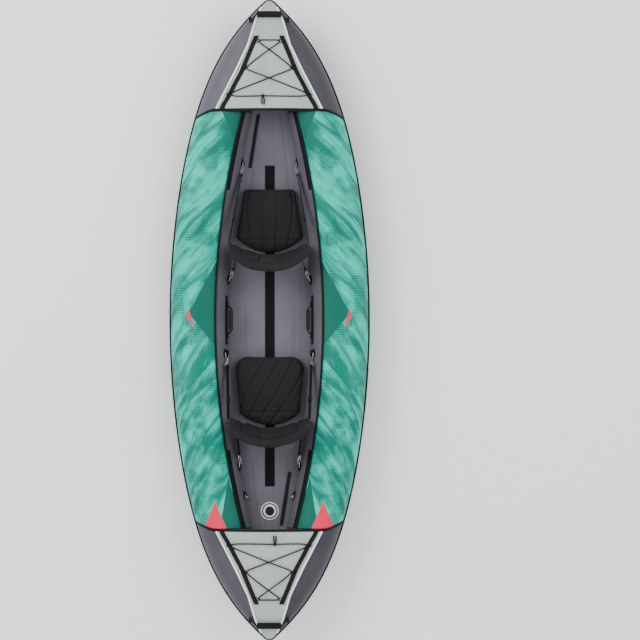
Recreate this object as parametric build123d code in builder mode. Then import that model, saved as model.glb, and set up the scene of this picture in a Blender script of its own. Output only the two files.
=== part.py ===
from build123d import *
import math
import os

# Two-seat inflatable kayak with a fabric-covered hull.
# Millimetres. X to starboard, Y to the bow, Z up; origin on the ground under the middle of the hull.

# ---------------------------------------------------------------- driving dimensions
LENGTH = 3200.0
BEAM = 1010.0
TUBE_RADIUS = 144.0          # side chamber at the middle of the boat
FLOOR_DEPTH = 84.0           # inflated I-beam floor
ROCKER = 240.0               # rise of the keel line at each tip
PANEL_SKIN = 2.0             # coated cloth of the side and inner panels and of the decks
HULL_SKIN = 3.0              # tarpaulin of the bottom
BLADDER_SKIN = 1.0
LAYER_GAP = 0.4              # air between a bladder and its cover
SEAT_GAP = 0.3               # rest clearance between pieces that touch
TRIM_LIFT = 1.4              # sewn trim stands this far off a deck's cloth
OUTER_PIPING = 7.0
INNER_PIPING = 7.0
DECK_PIPING = 9.0
BAND_WIDTH = 20.0            # wide binding at the ends of the inner seam
DECK_START = 1040.0          # fore-and-aft station of both deck edges
BINDING_WIDTH = 12.0
DECK_CROWN = 0.13            # rise of a deck per millimetre of tube spacing
FLOOR_END = 1150.0
NOSE_END = LENGTH / 2 - OUTER_PIPING - 0.3
BLADDER_END = 1470.0
FLAT_CUT = 0.5               # depth planed off the keel line so that the hull stands on a true flat

OUTLINE_HALF = LENGTH / 2 * 1.0075
OUTLINE_SQUARE = 0.59
OUTLINE_POWER = 6.5
TUBE_TAPER = 0.35
TUBE_SHARE = 0.48            # largest share of the half width that one tube may fill
BLEND_POWER = 12
SEAM_HALF = 270.0            # inner seam at the middle of the boat
SEAM_CURVE = 1.183

# ---------------------------------------------------------------- lines of the hull


def half_width(y):
    """Outside of the outer piping at station y."""
    t = abs(y) / OUTLINE_HALF
    fall = OUTLINE_SQUARE * t ** 2 + (1 - OUTLINE_SQUARE) * t ** OUTLINE_POWER
    return BEAM / 2 * (1 - fall)


def skin_half_width(y):
    """Outside of the hull skin at station y."""
    return half_width(y) - OUTER_PIPING - HULL_SKIN - LAYER_GAP - SEAT_GAP


def tube_radius(y):
    """Radius of the side chamber, which narrows to let the two tubes meet at the stem."""
    free = TUBE_RADIUS * (1 - TUBE_TAPER * (abs(y) / (LENGTH / 2)) ** 4)
    held = TUBE_SHARE * skin_half_width(y)
    return (free ** -BLEND_POWER + held ** -BLEND_POWER) ** (-1 / BLEND_POWER)


def keel_rise(y):
    return ROCKER * (abs(y) / (LENGTH / 2)) ** 5


def tube_x(y):
    return skin_half_width(y) - tube_radius(y)


def tube_z(y):
    return keel_rise(y) - FLAT_CUT + HULL_SKIN + LAYER_GAP + tube_radius(y)


def panel_radius(y):
    """Outside of the side and inner panels."""
    return tube_radius(y) + LAYER_GAP + PANEL_SKIN


def seam_angle(y):
    """Where the inner seam lies round the tube, in degrees from straight outwards."""
    x = SEAM_HALF * (1 - SEAM_CURVE * (y / (LENGTH / 2)) ** 2)
    return math.degrees(math.acos((x - tube_x(y)) / panel_radius(y)))


def deck_z(x, y):
    """Top of the deck cloth."""
    across = abs(x) - tube_x(y)
    if across > 0:
        return tube_z(y) + math.sqrt(panel_radius(y) ** 2 - across ** 2)
    crown = DECK_CROWN * tube_x(y)
    bend = (tube_x(y) ** 2 + crown ** 2) / (2 * crown)
    return tube_z(y) + panel_radius(y) + crown - bend + math.sqrt(bend ** 2 - x ** 2)


def floor_z(y):
    """Top of the floor cloth."""
    return keel_rise(y) - FLAT_CUT + HULL_SKIN + LAYER_GAP + FLOOR_DEPTH + LAYER_GAP + PANEL_SKIN


def station(y):
    """Cross plane at station y: local x to starboard, local y up."""
    return Plane(origin=(0, y, 0), x_dir=(1, 0, 0), z_dir=(0, -1, 0))


def both_ways(stations):
    """The same stations aft and forward of the middle, aft first."""
    return [-y for y in reversed(stations)] + [y for y in stations if y > 0]


MIDDLE = [0, 200, 400, 600, 800, 950]
ENTRY = [1040, 1150, 1240, 1300, 1350, 1400, 1440, 1480, 1520, 1560]
HULL_STATIONS = both_ways(MIDDLE + ENTRY + [NOSE_END])
PANEL_STATIONS = both_ways(MIDDLE + [DECK_START - SEAT_GAP])
DECK_STATIONS = [DECK_START + SEAT_GAP] + ENTRY[1:] + [NOSE_END]
BLADDER_STATIONS = both_ways(MIDDLE + ENTRY[:-3] + [BLADDER_END])
FLOOR_STATIONS = both_ways(MIDDLE + [1040, FLOOR_END])


def with_midpoints(stations):
    """The stations and the points halfway between them."""
    halfway = [(a + b) / 2 for a, b in zip(stations, stations[1:])]
    return sorted(stations + halfway)


def save(piece, name):
    piece.part.label = name
    export_step(piece.part, f"parts/{name}.step")


def face_of(sketch):
    return sketch.sketch.faces()[0]


os.makedirs("parts", exist_ok=True)

# ---------------------------------------------------------------- bottom of the hull


def bottom_section(y):
    """Skin under both tubes, from outer seam to outer seam."""
    x = tube_x(y)
    z = tube_z(y)
    inside = tube_radius(y) + LAYER_GAP
    outside = inside + HULL_SKIN
    with BuildSketch(station(y)) as section:
        with BuildLine():
            CenterArc((x, z), outside, 0, -90)
            Line((x, z - outside), (-x, z - outside))
            CenterArc((-x, z), outside, 180, 90)
            Line((-x - outside, z), (-x - inside, z))
            CenterArc((-x, z), inside, 180, 90)
            Line((-x, z - inside), (x, z - inside))
            CenterArc((x, z), inside, 0, -90)
            Line((x + inside, z), (x + outside, z))
        make_face()
    return face_of(section)


bottom_sections = [bottom_section(y) for y in HULL_STATIONS]
with BuildPart() as hull_bottom:
    loft(sections=bottom_sections)
    split(bisect_by=Plane.XY, keep=Keep.TOP)
save(hull_bottom, "hull_bottom")

# ---------------------------------------------------------------- side tubes


def ring_sector(y, start, end, inside, outside):
    """Strip of the tube's skin between two angles, starboard side."""
    centre = (tube_x(y), tube_z(y))
    with BuildSketch(station(y)) as section:
        with BuildLine():
            outer = CenterArc(centre, outside, start, end - start)
            inner = CenterArc(centre, inside, start, end - start)
            Line(outer @ 0, inner @ 0)
            Line(outer @ 1, inner @ 1)
        make_face()
    return face_of(section)


def tube_disc(y, radius):
    with BuildSketch(station(y)) as section:
        with Locations((tube_x(y), tube_z(y))):
            Circle(radius)
    return face_of(section)


SEAM_SLIT = 0.15             # degrees between two panels at their seam
OUTER_SLIT = 0.2             # degrees above the bottom skin
INNER_PANEL_END = 216.0      # the inner panel ends below the floor's top

side_sections = [
    ring_sector(y, OUTER_SLIT, seam_angle(y) - SEAM_SLIT, tube_radius(y) + LAYER_GAP, panel_radius(y))
    for y in PANEL_STATIONS
]
with BuildPart() as starboard_side_panel:
    loft(sections=side_sections)
save(starboard_side_panel, "starboard_side_panel")

with BuildPart() as port_side_panel:
    mirror(starboard_side_panel.part, about=Plane.YZ)
save(port_side_panel, "port_side_panel")

inner_sections = [
    ring_sector(y, seam_angle(y) + SEAM_SLIT, INNER_PANEL_END, tube_radius(y) + LAYER_GAP, panel_radius(y))
    for y in PANEL_STATIONS
]
with BuildPart() as starboard_inner_panel:
    loft(sections=inner_sections)
save(starboard_inner_panel, "starboard_inner_panel")

with BuildPart() as port_inner_panel:
    mirror(starboard_inner_panel.part, about=Plane.YZ)
save(port_inner_panel, "port_inner_panel")

chamber_outside = [tube_disc(y, tube_radius(y)) for y in BLADDER_STATIONS]
chamber_stations = [y * (1 - BLADDER_SKIN / BLADDER_END) for y in BLADDER_STATIONS]
chamber_inside = [tube_disc(y, tube_radius(y) - BLADDER_SKIN) for y in chamber_stations]
with BuildPart() as starboard_bladder:
    loft(sections=chamber_outside)
    loft(sections=chamber_inside, mode=Mode.SUBTRACT)
save(starboard_bladder, "starboard_bladder")

with BuildPart() as port_bladder:
    mirror(starboard_bladder.part, about=Plane.YZ)
save(port_bladder, "port_bladder")


# ---------------------------------------------------------------- inflated floor

FLOOR_FOOT_ANGLE = 240.0     # the floor's side stands straight below this angle on the tube
WEB_SHARES = [-0.6, -0.2, 0.2, 0.6]
WEB_THICKNESS = 1.2
WEB_END = 1100.0


def floor_section(y, inset):
    """Floor chamber between the tubes; its sides follow them."""
    x = tube_x(y)
    z = tube_z(y)
    around = panel_radius(y) + SEAT_GAP + inset
    low = keel_rise(y) - FLAT_CUT + HULL_SKIN + LAYER_GAP + inset
    high = low + FLOOR_DEPTH - 2 * inset
    top_angle = 180 + math.degrees(math.asin((z - high) / around))
    with BuildSketch(station(y)) as section:
        with BuildLine():
            side = CenterArc((x, z), around, FLOOR_FOOT_ANGLE, top_angle - FLOOR_FOOT_ANGLE)
            mirror(side, about=Plane.YZ)
            Line(side @ 1, (-(side @ 1).X, high))
            foot = (side @ 0).X
            Line(side @ 0, (foot, low))
            Line((foot, low), (-foot, low))
            Line((-foot, low), (-foot, (side @ 0).Y))
        make_face()
    return face_of(section)


def floor_edge(y, z):
    """Half width that the tubes leave at height z."""
    reach = panel_radius(y) + SEAT_GAP
    return tube_x(y) - math.sqrt(reach ** 2 - (tube_z(y) - z) ** 2)


def floor_cloth_section(y):
    high = floor_z(y)
    low = high - PANEL_SKIN
    with BuildSketch(station(y)) as section:
        with BuildLine():
            Polyline(
                (-floor_edge(y, low), low),
                (floor_edge(y, low), low),
                (floor_edge(y, high), high),
                (-floor_edge(y, high), high),
                close=True,
            )
        make_face()
    return face_of(section)


def floor_bar(y, middle, width, low, high):
    """Upright section of a strip that runs along the floor."""
    with BuildSketch(station(y)) as section:
        with Locations((middle, (low + high) / 2)):
            Rectangle(width, high - low)
    return face_of(section)


def slope_angle(y):
    """Rise of the floor at station y, in degrees, positive towards the bow."""
    step = 1.0
    return math.degrees(math.atan2(keel_rise(y + step) - keel_rise(y - step), 2 * step))


# ---------------------------------------------------------------- floor valve sizes
VALVE_Y = -964.0
VALVE_FLANGE_RADIUS = 45.0
VALVE_FLANGE = 2.0
VALVE_BODY_RADIUS = 32.0
VALVE_BORE_RADIUS = 21.5
VALVE_DEPTH = 30.0
VALVE_RIM = 7.0              # body above the flange
VALVE_HOLE_GAP = 0.5
VALVE_LIFT = 0.8             # flange above the floor cloth, which curves up towards the stern
VALVE_TILT = slope_angle(VALVE_Y)
valve_plane = Plane(
    origin=(0, VALVE_Y, floor_z(VALVE_Y) + VALVE_LIFT),
    x_dir=(1, 0, 0),
    z_dir=(0, -math.sin(math.radians(VALVE_TILT)), math.cos(math.radians(VALVE_TILT))),
)

floor_outside = [floor_section(y, 0) for y in FLOOR_STATIONS]
floor_hollow_stations = [y * (1 - BLADDER_SKIN / FLOOR_END) for y in FLOOR_STATIONS]
floor_inside = [floor_section(y, BLADDER_SKIN) for y in floor_hollow_stations]
with BuildPart() as floor_bladder:
    loft(sections=floor_outside)
    loft(sections=floor_inside, mode=Mode.SUBTRACT)
    with BuildSketch(valve_plane):
        Circle(VALVE_BODY_RADIUS + VALVE_HOLE_GAP)
    extrude(amount=-FLOOR_DEPTH / 2, mode=Mode.SUBTRACT)
save(floor_bladder, "floor_bladder")

web_stations = [y * WEB_END / FLOOR_END for y in FLOOR_STATIONS]
web_height = FLOOR_DEPTH - 2 * BLADDER_SKIN - 2 * SEAT_GAP
web_lift = HULL_SKIN - FLAT_CUT + LAYER_GAP + BLADDER_SKIN + SEAT_GAP
with BuildPart() as floor_webs:
    for share in WEB_SHARES:
        loft(sections=[
            floor_bar(
                y,
                share * floor_edge(y, floor_z(y)),
                WEB_THICKNESS,
                keel_rise(y) + web_lift,
                keel_rise(y) + web_lift + web_height,
            )
            for y in web_stations
        ])
    with BuildSketch(valve_plane):
        Circle(VALVE_BODY_RADIUS + 4 * VALVE_HOLE_GAP)
    extrude(amount=-FLOOR_DEPTH / 2, mode=Mode.SUBTRACT)
save(floor_webs, "floor_webs")

cloth_sections = [floor_cloth_section(y) for y in FLOOR_STATIONS]
with BuildPart() as floor_cover:
    loft(sections=cloth_sections)
    with BuildSketch(valve_plane.offset(FLOOR_DEPTH / 4)):
        Circle(VALVE_BODY_RADIUS + VALVE_HOLE_GAP)
    extrude(amount=-FLOOR_DEPTH / 2, mode=Mode.SUBTRACT)
save(floor_cover, "floor_cover")

# ---------------------------------------------------------------- seat fixing strip on the floor
STRIP_WIDTH = 48.0
STRIP_THICKNESS = 2.0
STRIP_BOW_END = 780.0
STRIP_STERN_END = -840.0
strip_stations = [STRIP_STERN_END, -800, -600, -400, -200, 0, 200, 400, 600, STRIP_BOW_END]
strip_sections = [
    floor_bar(y, 0, STRIP_WIDTH, floor_z(y) + SEAT_GAP, floor_z(y) + SEAT_GAP + STRIP_THICKNESS)
    for y in strip_stations
]
with BuildPart() as floor_strip:
    loft(sections=strip_sections)
save(floor_strip, "floor_strip")

# ---------------------------------------------------------------- decks


def deck_section(y, lift, thickness, slit):
    """Cloth stretched over both tubes; slit is the angle left free above the outer seams."""
    x = tube_x(y)
    z = tube_z(y)
    inside = tube_radius(y) + LAYER_GAP + lift
    outside = inside + thickness
    crown = DECK_CROWN * x
    with BuildSketch(station(y)) as section:
        with BuildLine():
            right = CenterArc((x, z), outside, slit, 90 - slit)
            left = CenterArc((-x, z), outside, 90, 90 - slit)
            ThreePointArc(right @ 1, (0, z + outside + crown), left @ 0)
            right_in = CenterArc((x, z), inside, slit, 90 - slit)
            left_in = CenterArc((-x, z), inside, 90, 90 - slit)
            ThreePointArc(right_in @ 1, (0, z + inside + crown), left_in @ 0)
            Line(right @ 0, right_in @ 0)
            Line(left @ 1, left_in @ 1)
        make_face()
    return face_of(section)


deck_sections = [deck_section(y, 0, PANEL_SKIN, OUTER_SLIT) for y in DECK_STATIONS]
with BuildPart() as bow_deck:
    loft(sections=deck_sections)
save(bow_deck, "bow_deck")

with BuildPart() as stern_deck:
    mirror(bow_deck.part, about=Plane.XZ)
save(stern_deck, "stern_deck")

BINDING_THICKNESS = 1.6
BINDING_SLIT = 4.0           # degrees; the binding stops above the outer piping
binding_sections = [
    deck_section(y, PANEL_SKIN + TRIM_LIFT, BINDING_THICKNESS, BINDING_SLIT)
    for y in (DECK_START + SEAT_GAP, DECK_START + SEAT_GAP + BINDING_WIDTH)
]
with BuildPart() as bow_deck_binding:
    loft(sections=binding_sections)
save(bow_deck_binding, "bow_deck_binding")

with BuildPart() as stern_deck_binding:
    mirror(bow_deck_binding.part, about=Plane.XZ)
save(stern_deck_binding, "stern_deck_binding")

# ---------------------------------------------------------------- pipings along the seams


def round_section(x, y, z, diameter):
    with BuildSketch(station(y)) as section:
        with Locations((x, z)):
            Circle(diameter / 2)
    return face_of(section)


PIPING_SIDES = 12


def piping_section(x, y, z, diameter):
    """Cord piping that runs the hull's length, drawn with narrow flats."""
    with BuildSketch(station(y)) as section:
        with Locations((x, z)):
            RegularPolygon(diameter / 2, PIPING_SIDES)
    return face_of(section)


def outer_piping_x(y):
    return half_width(y) - OUTER_PIPING / 2


outer_sections = [piping_section(outer_piping_x(y), y, tube_z(y), OUTER_PIPING) for y in HULL_STATIONS]
nose_plane = Plane(
    origin=(0, LENGTH / 2 - OUTER_PIPING / 2, tube_z(NOSE_END)), x_dir=(0, 1, 0), z_dir=(1, 0, 0)
)
with BuildPart() as outer_piping:
    loft(sections=outer_sections)
    mirror(about=Plane.YZ)
    with BuildSketch(nose_plane):
        Circle(OUTER_PIPING / 2)
    tip = extrude(amount=half_width(NOSE_END), both=True)
    mirror(tip, about=Plane.XZ)
save(outer_piping, "outer_piping")


def inner_piping_section(y):
    angle = math.radians(seam_angle(y))
    reach = panel_radius(y) + SEAT_GAP + INNER_PIPING / 2
    x = tube_x(y) + reach * math.cos(angle)
    return piping_section(x, y, tube_z(y) + reach * math.sin(angle), INNER_PIPING)


inner_piping_sections = [inner_piping_section(y) for y in PANEL_STATIONS]
with BuildPart() as inner_piping:
    loft(sections=inner_piping_sections)
    mirror(about=Plane.YZ)
save(inner_piping, "inner_piping")

BAND_START = 650.0
BAND_THICKNESS = 1.5
BAND_LEAD = 2.2              # degrees between the piping and the band beside it


def band_section(y):
    start = seam_angle(y) + BAND_LEAD
    inside = panel_radius(y) + LAYER_GAP
    width = math.degrees(BAND_WIDTH / inside)
    return ring_sector(y, start, start + width, inside, inside + BAND_THICKNESS)


band_sections = [band_section(y) for y in (BAND_START, 800, 950, DECK_START - SEAT_GAP)]
with BuildPart() as seam_bands:
    loft(sections=band_sections)
    mirror(about=Plane.YZ)
    mirror(about=Plane.XZ)
save(seam_bands, "seam_bands")

# white piping and webbing on the decks: distance from the middle at each station
DECK_PIPING_LINE = [(1040, 270), (1242, 165), (1370, 104), (1498, 67), (1593, 24)]
WEBBING_LINE = [(1040, 241), (1240, 134), (1415, 62)]
WEBBING_WIDTH = 24.0
WEBBING_THICKNESS = 2.0
WEBBING_END = 1415.0
TRIM_START = DECK_START + 2 * SEAT_GAP + BINDING_WIDTH


def along(line, y):
    """Value at station y on a line given by its corners."""
    for (y0, x0), (y1, x1) in zip(line, line[1:]):
        if y <= y1 or (y1, x1) == line[-1]:
            return x0 + (x1 - x0) * (y - y0) / (y1 - y0)


def deck_piping_section(y):
    x = along(DECK_PIPING_LINE, y)
    return round_section(x, y, deck_z(x, y) + TRIM_LIFT + DECK_PIPING / 2, DECK_PIPING)


piping_sections = [deck_piping_section(y) for y in with_midpoints([TRIM_START] + ENTRY[1:])]
with BuildPart() as deck_piping:
    loft(sections=piping_sections)
    mirror(about=Plane.YZ)
    mirror(about=Plane.XZ)
save(deck_piping, "deck_piping")


def webbing_section(y):
    """Flat strap on the deck, tilted with it."""
    x = along(WEBBING_LINE, y)
    inner = x - WEBBING_WIDTH / 2
    outer = x + WEBBING_WIDTH / 2
    lift = TRIM_LIFT + SEAT_GAP
    with BuildSketch(station(y)) as section:
        with BuildLine():
            Polyline(
                (inner, deck_z(inner, y) + lift),
                (x, deck_z(x, y) + lift),
                (outer, deck_z(outer, y) + lift),
                (outer, deck_z(outer, y) + lift + WEBBING_THICKNESS),
                (x, deck_z(x, y) + lift + WEBBING_THICKNESS),
                (inner, deck_z(inner, y) + lift + WEBBING_THICKNESS),
                close=True,
            )
        make_face()
    return face_of(section)


webbing_stations = with_midpoints([TRIM_START, 1150, 1240, 1300, 1350, WEBBING_END])
webbing_sections = [webbing_section(y) for y in webbing_stations]
with BuildPart() as deck_webbing:
    loft(sections=webbing_sections)
    mirror(about=Plane.YZ)
    mirror(about=Plane.XZ)
save(deck_webbing, "deck_webbing")

# ---------------------------------------------------------------- seats
SEAT_HEIGHT = 44.0
PAD_LIFT = 0.5               # pad above the fixing strip
COVER = 1.5                  # seat cloth
FOAM_GAP = 0.3
BACK_HEIGHT = 270.0
BACK_THICKNESS = 38.0
BACK_RADIUS = 236.0          # front face, as seen from above
BACK_HALF_ANGLE = 52.0
BACK_LEAN = 12.0             # degrees aft of upright
BACK_EDGE_SLOPE = 0.4        # lower edge rises forward, to clear the pad when the back tips forward
EAR_START = 110.0            # lower corners are cut away outside this half width
EAR_SLOPE = 1.45
HINGE_GAP = 0.8

SEATS = {
    "bow": {"front": 668.0, "rear": 330.0, "front_half": 134.0, "rear_half": 178.0, "corner": 24.0},
    "stern": {"front": -177.0, "rear": -540.0, "front_half": 188.0, "rear_half": 160.0, "corner": 70.0},
}


def seat_base(seat):
    """Underside of a seat pad, clear of the strip at the pad's higher end."""
    end = max(abs(seat["front"]), abs(seat["rear"]))
    return floor_z(end) + SEAT_GAP + STRIP_THICKNESS + PAD_LIFT


def arc_drop(x, radius):
    """How far an arc curves forward of its middle at half width x."""
    return radius - math.sqrt(radius ** 2 - x ** 2)


def pad_outline(seat, plane, inset):
    front = seat["front"]
    rear = seat["rear"]
    rear_half = seat["rear_half"]
    side = rear + arc_drop(rear_half, BACK_RADIUS)
    with BuildSketch(plane) as outline:
        with BuildLine():
            Polyline(
                (-rear_half, side), (-seat["front_half"], front), (seat["front_half"], front), (rear_half, side)
            )
            ThreePointArc((rear_half, side), (0, rear), (-rear_half, side))
        make_face()
        fillet(outline.vertices().group_by(Axis.Y)[-1], radius=seat["corner"])
        if inset:
            offset(amount=-inset, mode=Mode.REPLACE)
    return outline.sketch


def pad_block(seat, inset):
    """Seat pad, smaller all round by inset."""
    outline = pad_outline(seat, Plane.XY.offset(seat_base(seat) + inset), inset)
    with BuildPart() as block:
        extrude(outline, amount=SEAT_HEIGHT - 2 * inset)
    return block.part


def back_frame(seat):
    """Plane across the backrest at its hinge seam: local y forward, local z up the back."""
    lean = math.radians(BACK_LEAN)
    origin = (0, seat["rear"], seat_base(seat) + SEAT_HEIGHT + HINGE_GAP)
    return Plane(origin=origin, x_dir=(1, 0, 0), z_dir=(0, -math.sin(lean), math.cos(lean)))


def back_block(seat, inset):
    """Curved backrest with raised ears, smaller all round by inset."""
    frame = back_frame(seat)
    span = BACK_HALF_ANGLE - math.degrees(inset / BACK_RADIUS)
    with BuildSketch(frame.offset(inset)) as band:
        with BuildLine():
            front = CenterArc((0, BACK_RADIUS), BACK_RADIUS + inset, 270 - span, 2 * span)
            rear = CenterArc((0, BACK_RADIUS), BACK_RADIUS + BACK_THICKNESS - inset, 270 - span, 2 * span)
            Line(front @ 0, rear @ 0)
            Line(front @ 1, rear @ 1)
        make_face()
    side = Plane(origin=frame.origin, x_dir=frame.y_dir, z_dir=(1, 0, 0))
    lift = inset * 2
    reach = BACK_RADIUS
    with BuildPart() as block:
        extrude(band.sketch, amount=BACK_HEIGHT - 2 * inset)
        with BuildSketch(side):
            with BuildLine():
                Polyline(
                    (0, lift), (reach, lift + reach * BACK_EDGE_SLOPE), (reach, -reach), (0, -reach), close=True
                )
            make_face()
        extrude(amount=reach, both=True, mode=Mode.SUBTRACT)
        with BuildSketch(Plane(origin=frame.origin, x_dir=(1, 0, 0), z_dir=frame.y_dir * -1)):
            with BuildLine():
                start = EAR_START - inset
                rise = reach * EAR_SLOPE
                Polyline((start, 0), (start + reach, rise), (start + reach, -reach), (start, -reach), close=True)
            make_face()
            mirror(about=Plane.YZ)
        extrude(amount=reach, both=True, mode=Mode.SUBTRACT)
    return block.part


for place, seat in SEATS.items():
    outer_pad = pad_block(seat, 0)
    inner_pad = pad_block(seat, COVER)
    with BuildPart() as pad_cover:
        add(outer_pad)
        add(inner_pad, mode=Mode.SUBTRACT)
    save(pad_cover, f"{place}_seat_pad")

    foam = pad_block(seat, COVER + FOAM_GAP)
    with BuildPart() as pad_foam:
        add(foam)
    save(pad_foam, f"{place}_seat_foam")

    outer_back = back_block(seat, 0)
    inner_back = back_block(seat, COVER)
    with BuildPart() as back_cover:
        add(outer_back)
        add(inner_back, mode=Mode.SUBTRACT)
    save(back_cover, f"{place}_backrest")

    foam = back_block(seat, COVER + FOAM_GAP)
    with BuildPart() as back_foam:
        add(foam)
    save(back_foam, f"{place}_backrest_foam")

# ---------------------------------------------------------------- rings, hooks and straps of the seats
PATCH_LENGTH = 40.0
PATCH_WIDTH = 44.0
PATCH_LIFT = 0.6
PATCH_THICKNESS = 2.0
PATCH_CORNER = 8.0
RING_WIRE = 5.0
RING_BAR = 34.0
RING_REACH = 26.0
TAB_LENGTH = 22.0
TAB_WALL = 1.8
TAB_CLEARANCE = 0.3
HOOK_WIRE = 4.0
HOOK_LENGTH = 34.0
HOOK_WIDTH = 14.0
EYE_LENGTH = 12.0
EYE_WIDTH = 35.0
EYE_WALL = 3.5
NECK_LENGTH = 6.0
STRAP_WIDTH = 25.0
STRAP_THICKNESS = 1.8
STRAP_END_GAP = 14.0
BUCKLE_WIDTH = 34.0
BUCKLE_LENGTH = 30.0
BUCKLE_HEIGHT = 7.0
BUCKLE_PLACE = 0.62          # share of the strap from the hook to the backrest
EAR_STRAP_HEIGHT = 205.0     # up the backrest, where the front straps are sewn
REAR_STRAP_HEIGHT = 130.0
REAR_STRAP_ANGLE = 35.0
REAR_STRAP_STAND = 5.0


def tube_point(y, angle, lift=0.0):
    """Point on the starboard tube's skin, lift above it."""
    reach = panel_radius(y) + lift
    turn = math.radians(angle)
    return Vector(tube_x(y) + reach * math.cos(turn), y, tube_z(y) + reach * math.sin(turn))


def tube_normal(y, angle):
    """Outward direction of the starboard tube's skin."""
    step = 1.0
    along_tube = tube_point(y + step, angle) - tube_point(y - step, angle)
    round_tube = tube_point(y, angle + step) - tube_point(y, angle - step)
    return round_tube.cross(along_tube).normalized() * -1


def inner_angle(y, x):
    """Angle on the tube's upper inner side whose half width is x."""
    return math.degrees(math.acos((x - tube_x(y)) / panel_radius(y)))


def ring_planes(y, x, target):
    """Patch plane on the tube, ring plane through its bar, both with local y towards the target."""
    angle = inner_angle(y, x)
    normal = tube_normal(y, angle)
    foot = tube_point(y, angle) + normal * PATCH_LIFT
    bar_height = PATCH_THICKNESS + RING_WIRE / 2 + TAB_CLEARANCE + TAB_WALL
    bar_centre = foot + normal * bar_height
    pull = (target - bar_centre).normalized()
    flat_pull = (pull - normal * pull.dot(normal)).normalized()
    bar = flat_pull.cross(normal)
    patch = Plane(origin=foot, x_dir=bar, z_dir=normal)
    ring = Plane(origin=bar_centre, x_dir=bar, z_dir=bar.cross(pull))
    return patch, ring


def patch_block(patch, ring):
    """Welded patch with the webbing tab that holds a ring's bar."""
    inside = RING_WIRE / 2 + TAB_CLEARANCE
    tab = Plane(origin=ring.origin, x_dir=patch.y_dir, z_dir=patch.x_dir)
    with BuildPart() as block:
        with BuildSketch(patch):
            RectangleRounded(PATCH_WIDTH, PATCH_LENGTH, PATCH_CORNER)
        extrude(amount=PATCH_THICKNESS)
        with BuildSketch(tab):
            Circle(inside + TAB_WALL + TAB_CLEARANCE)
        extrude(amount=TAB_LENGTH / 2, both=True)
        with BuildSketch(tab):
            Circle(inside)
        extrude(amount=TAB_LENGTH, both=True, mode=Mode.SUBTRACT)
    return block.part


def ring_block(ring):
    """D-ring of round wire with its bar at the plane's origin."""
    half = RING_BAR / 2
    with BuildLine(ring) as path:
        FilletPolyline(
            (half, 0), (half, RING_REACH * 0.55), (half * 0.5, RING_REACH),
            (-half * 0.5, RING_REACH), (-half, RING_REACH * 0.55), (-half, 0),
            radius=[4, 9, 9, 9, 9, 4],
            close=True,
        )
    with BuildPart() as block:
        with BuildSketch(Plane(origin=path.line @ 0, z_dir=path.line % 0)):
            Circle(RING_WIRE / 2)
        sweep(path=path.line)
    return block.part


def hook_block(ring):
    """Snap hook through the ring, with an eye for the webbing turned flat to the strap."""
    near = RING_REACH - RING_WIRE / 2 - SEAT_GAP - HOOK_WIRE
    far = near + HOOK_LENGTH
    loop = Plane(origin=ring.origin + ring.y_dir * (near + far) / 2, x_dir=ring.y_dir, z_dir=ring.x_dir)
    neck = Plane(origin=ring.origin + ring.y_dir * (far - HOOK_WIRE / 2), z_dir=ring.y_dir)
    eye_centre = ring.origin + ring.y_dir * (far + NECK_LENGTH - HOOK_WIRE / 2 + EYE_LENGTH / 2)
    eye = Plane(origin=eye_centre, x_dir=ring.x_dir, z_dir=ring.z_dir)
    with BuildPart() as block:
        with BuildSketch(loop):
            SlotOverall(HOOK_LENGTH, HOOK_WIDTH)
            SlotOverall(HOOK_LENGTH - 2 * HOOK_WIRE, HOOK_WIDTH - 2 * HOOK_WIRE, mode=Mode.SUBTRACT)
        extrude(amount=HOOK_WIRE / 2, both=True)
        with BuildSketch(eye):
            Rectangle(EYE_WIDTH, EYE_LENGTH)
            Rectangle(EYE_WIDTH - 2 * EYE_WALL, EYE_LENGTH - 2 * EYE_WALL, mode=Mode.SUBTRACT)
        extrude(amount=EYE_WALL / 2, both=True)
        with BuildSketch(neck):
            Circle(HOOK_WIRE * 0.7)
        extrude(amount=NECK_LENGTH)
    return block.part


def strap_start():
    """Distance from a ring's bar to the outer bar of its hook's eye."""
    far = RING_REACH - RING_WIRE / 2 - SEAT_GAP - HOOK_WIRE + HOOK_LENGTH
    return far + NECK_LENGTH - HOOK_WIRE / 2 + EYE_LENGTH - EYE_WALL / 2


def strap_length(ring, target):
    return (target - ring.origin).length - strap_start() - STRAP_END_GAP


def strap_block(ring, target):
    """Webbing from the hook's eye to the backrest, folded round the eye's outer bar."""
    fold_radius = EYE_WALL * 0.75 + SEAT_GAP
    begin = ring.origin + ring.y_dir * strap_start()
    fold = Plane(origin=begin, x_dir=ring.y_dir, z_dir=ring.x_dir)
    run = Plane(origin=begin + ring.y_dir * fold_radius, x_dir=ring.x_dir, z_dir=ring.y_dir)
    with BuildPart() as block:
        with BuildSketch(fold):
            Circle(fold_radius + STRAP_THICKNESS)
            Circle(fold_radius, mode=Mode.SUBTRACT)
        extrude(amount=STRAP_WIDTH / 2, both=True)
        with BuildSketch(run):
            Rectangle(STRAP_WIDTH, STRAP_THICKNESS)
        extrude(amount=strap_length(ring, target) - fold_radius)
    return block.part


def buckle_block(ring, target):
    """Ladder-lock buckle that the strap runs through."""
    place = ring.origin + ring.y_dir * (strap_start() + strap_length(ring, target) * BUCKLE_PLACE)
    with BuildPart() as block:
        with BuildSketch(Plane(origin=place, x_dir=ring.x_dir, z_dir=ring.y_dir)):
            Rectangle(BUCKLE_WIDTH, BUCKLE_HEIGHT)
            Rectangle(STRAP_WIDTH + 2 * SEAT_GAP, STRAP_THICKNESS + 2 * SEAT_GAP, mode=Mode.SUBTRACT)
        extrude(amount=BUCKLE_LENGTH / 2, both=True)
    return block.part


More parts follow.
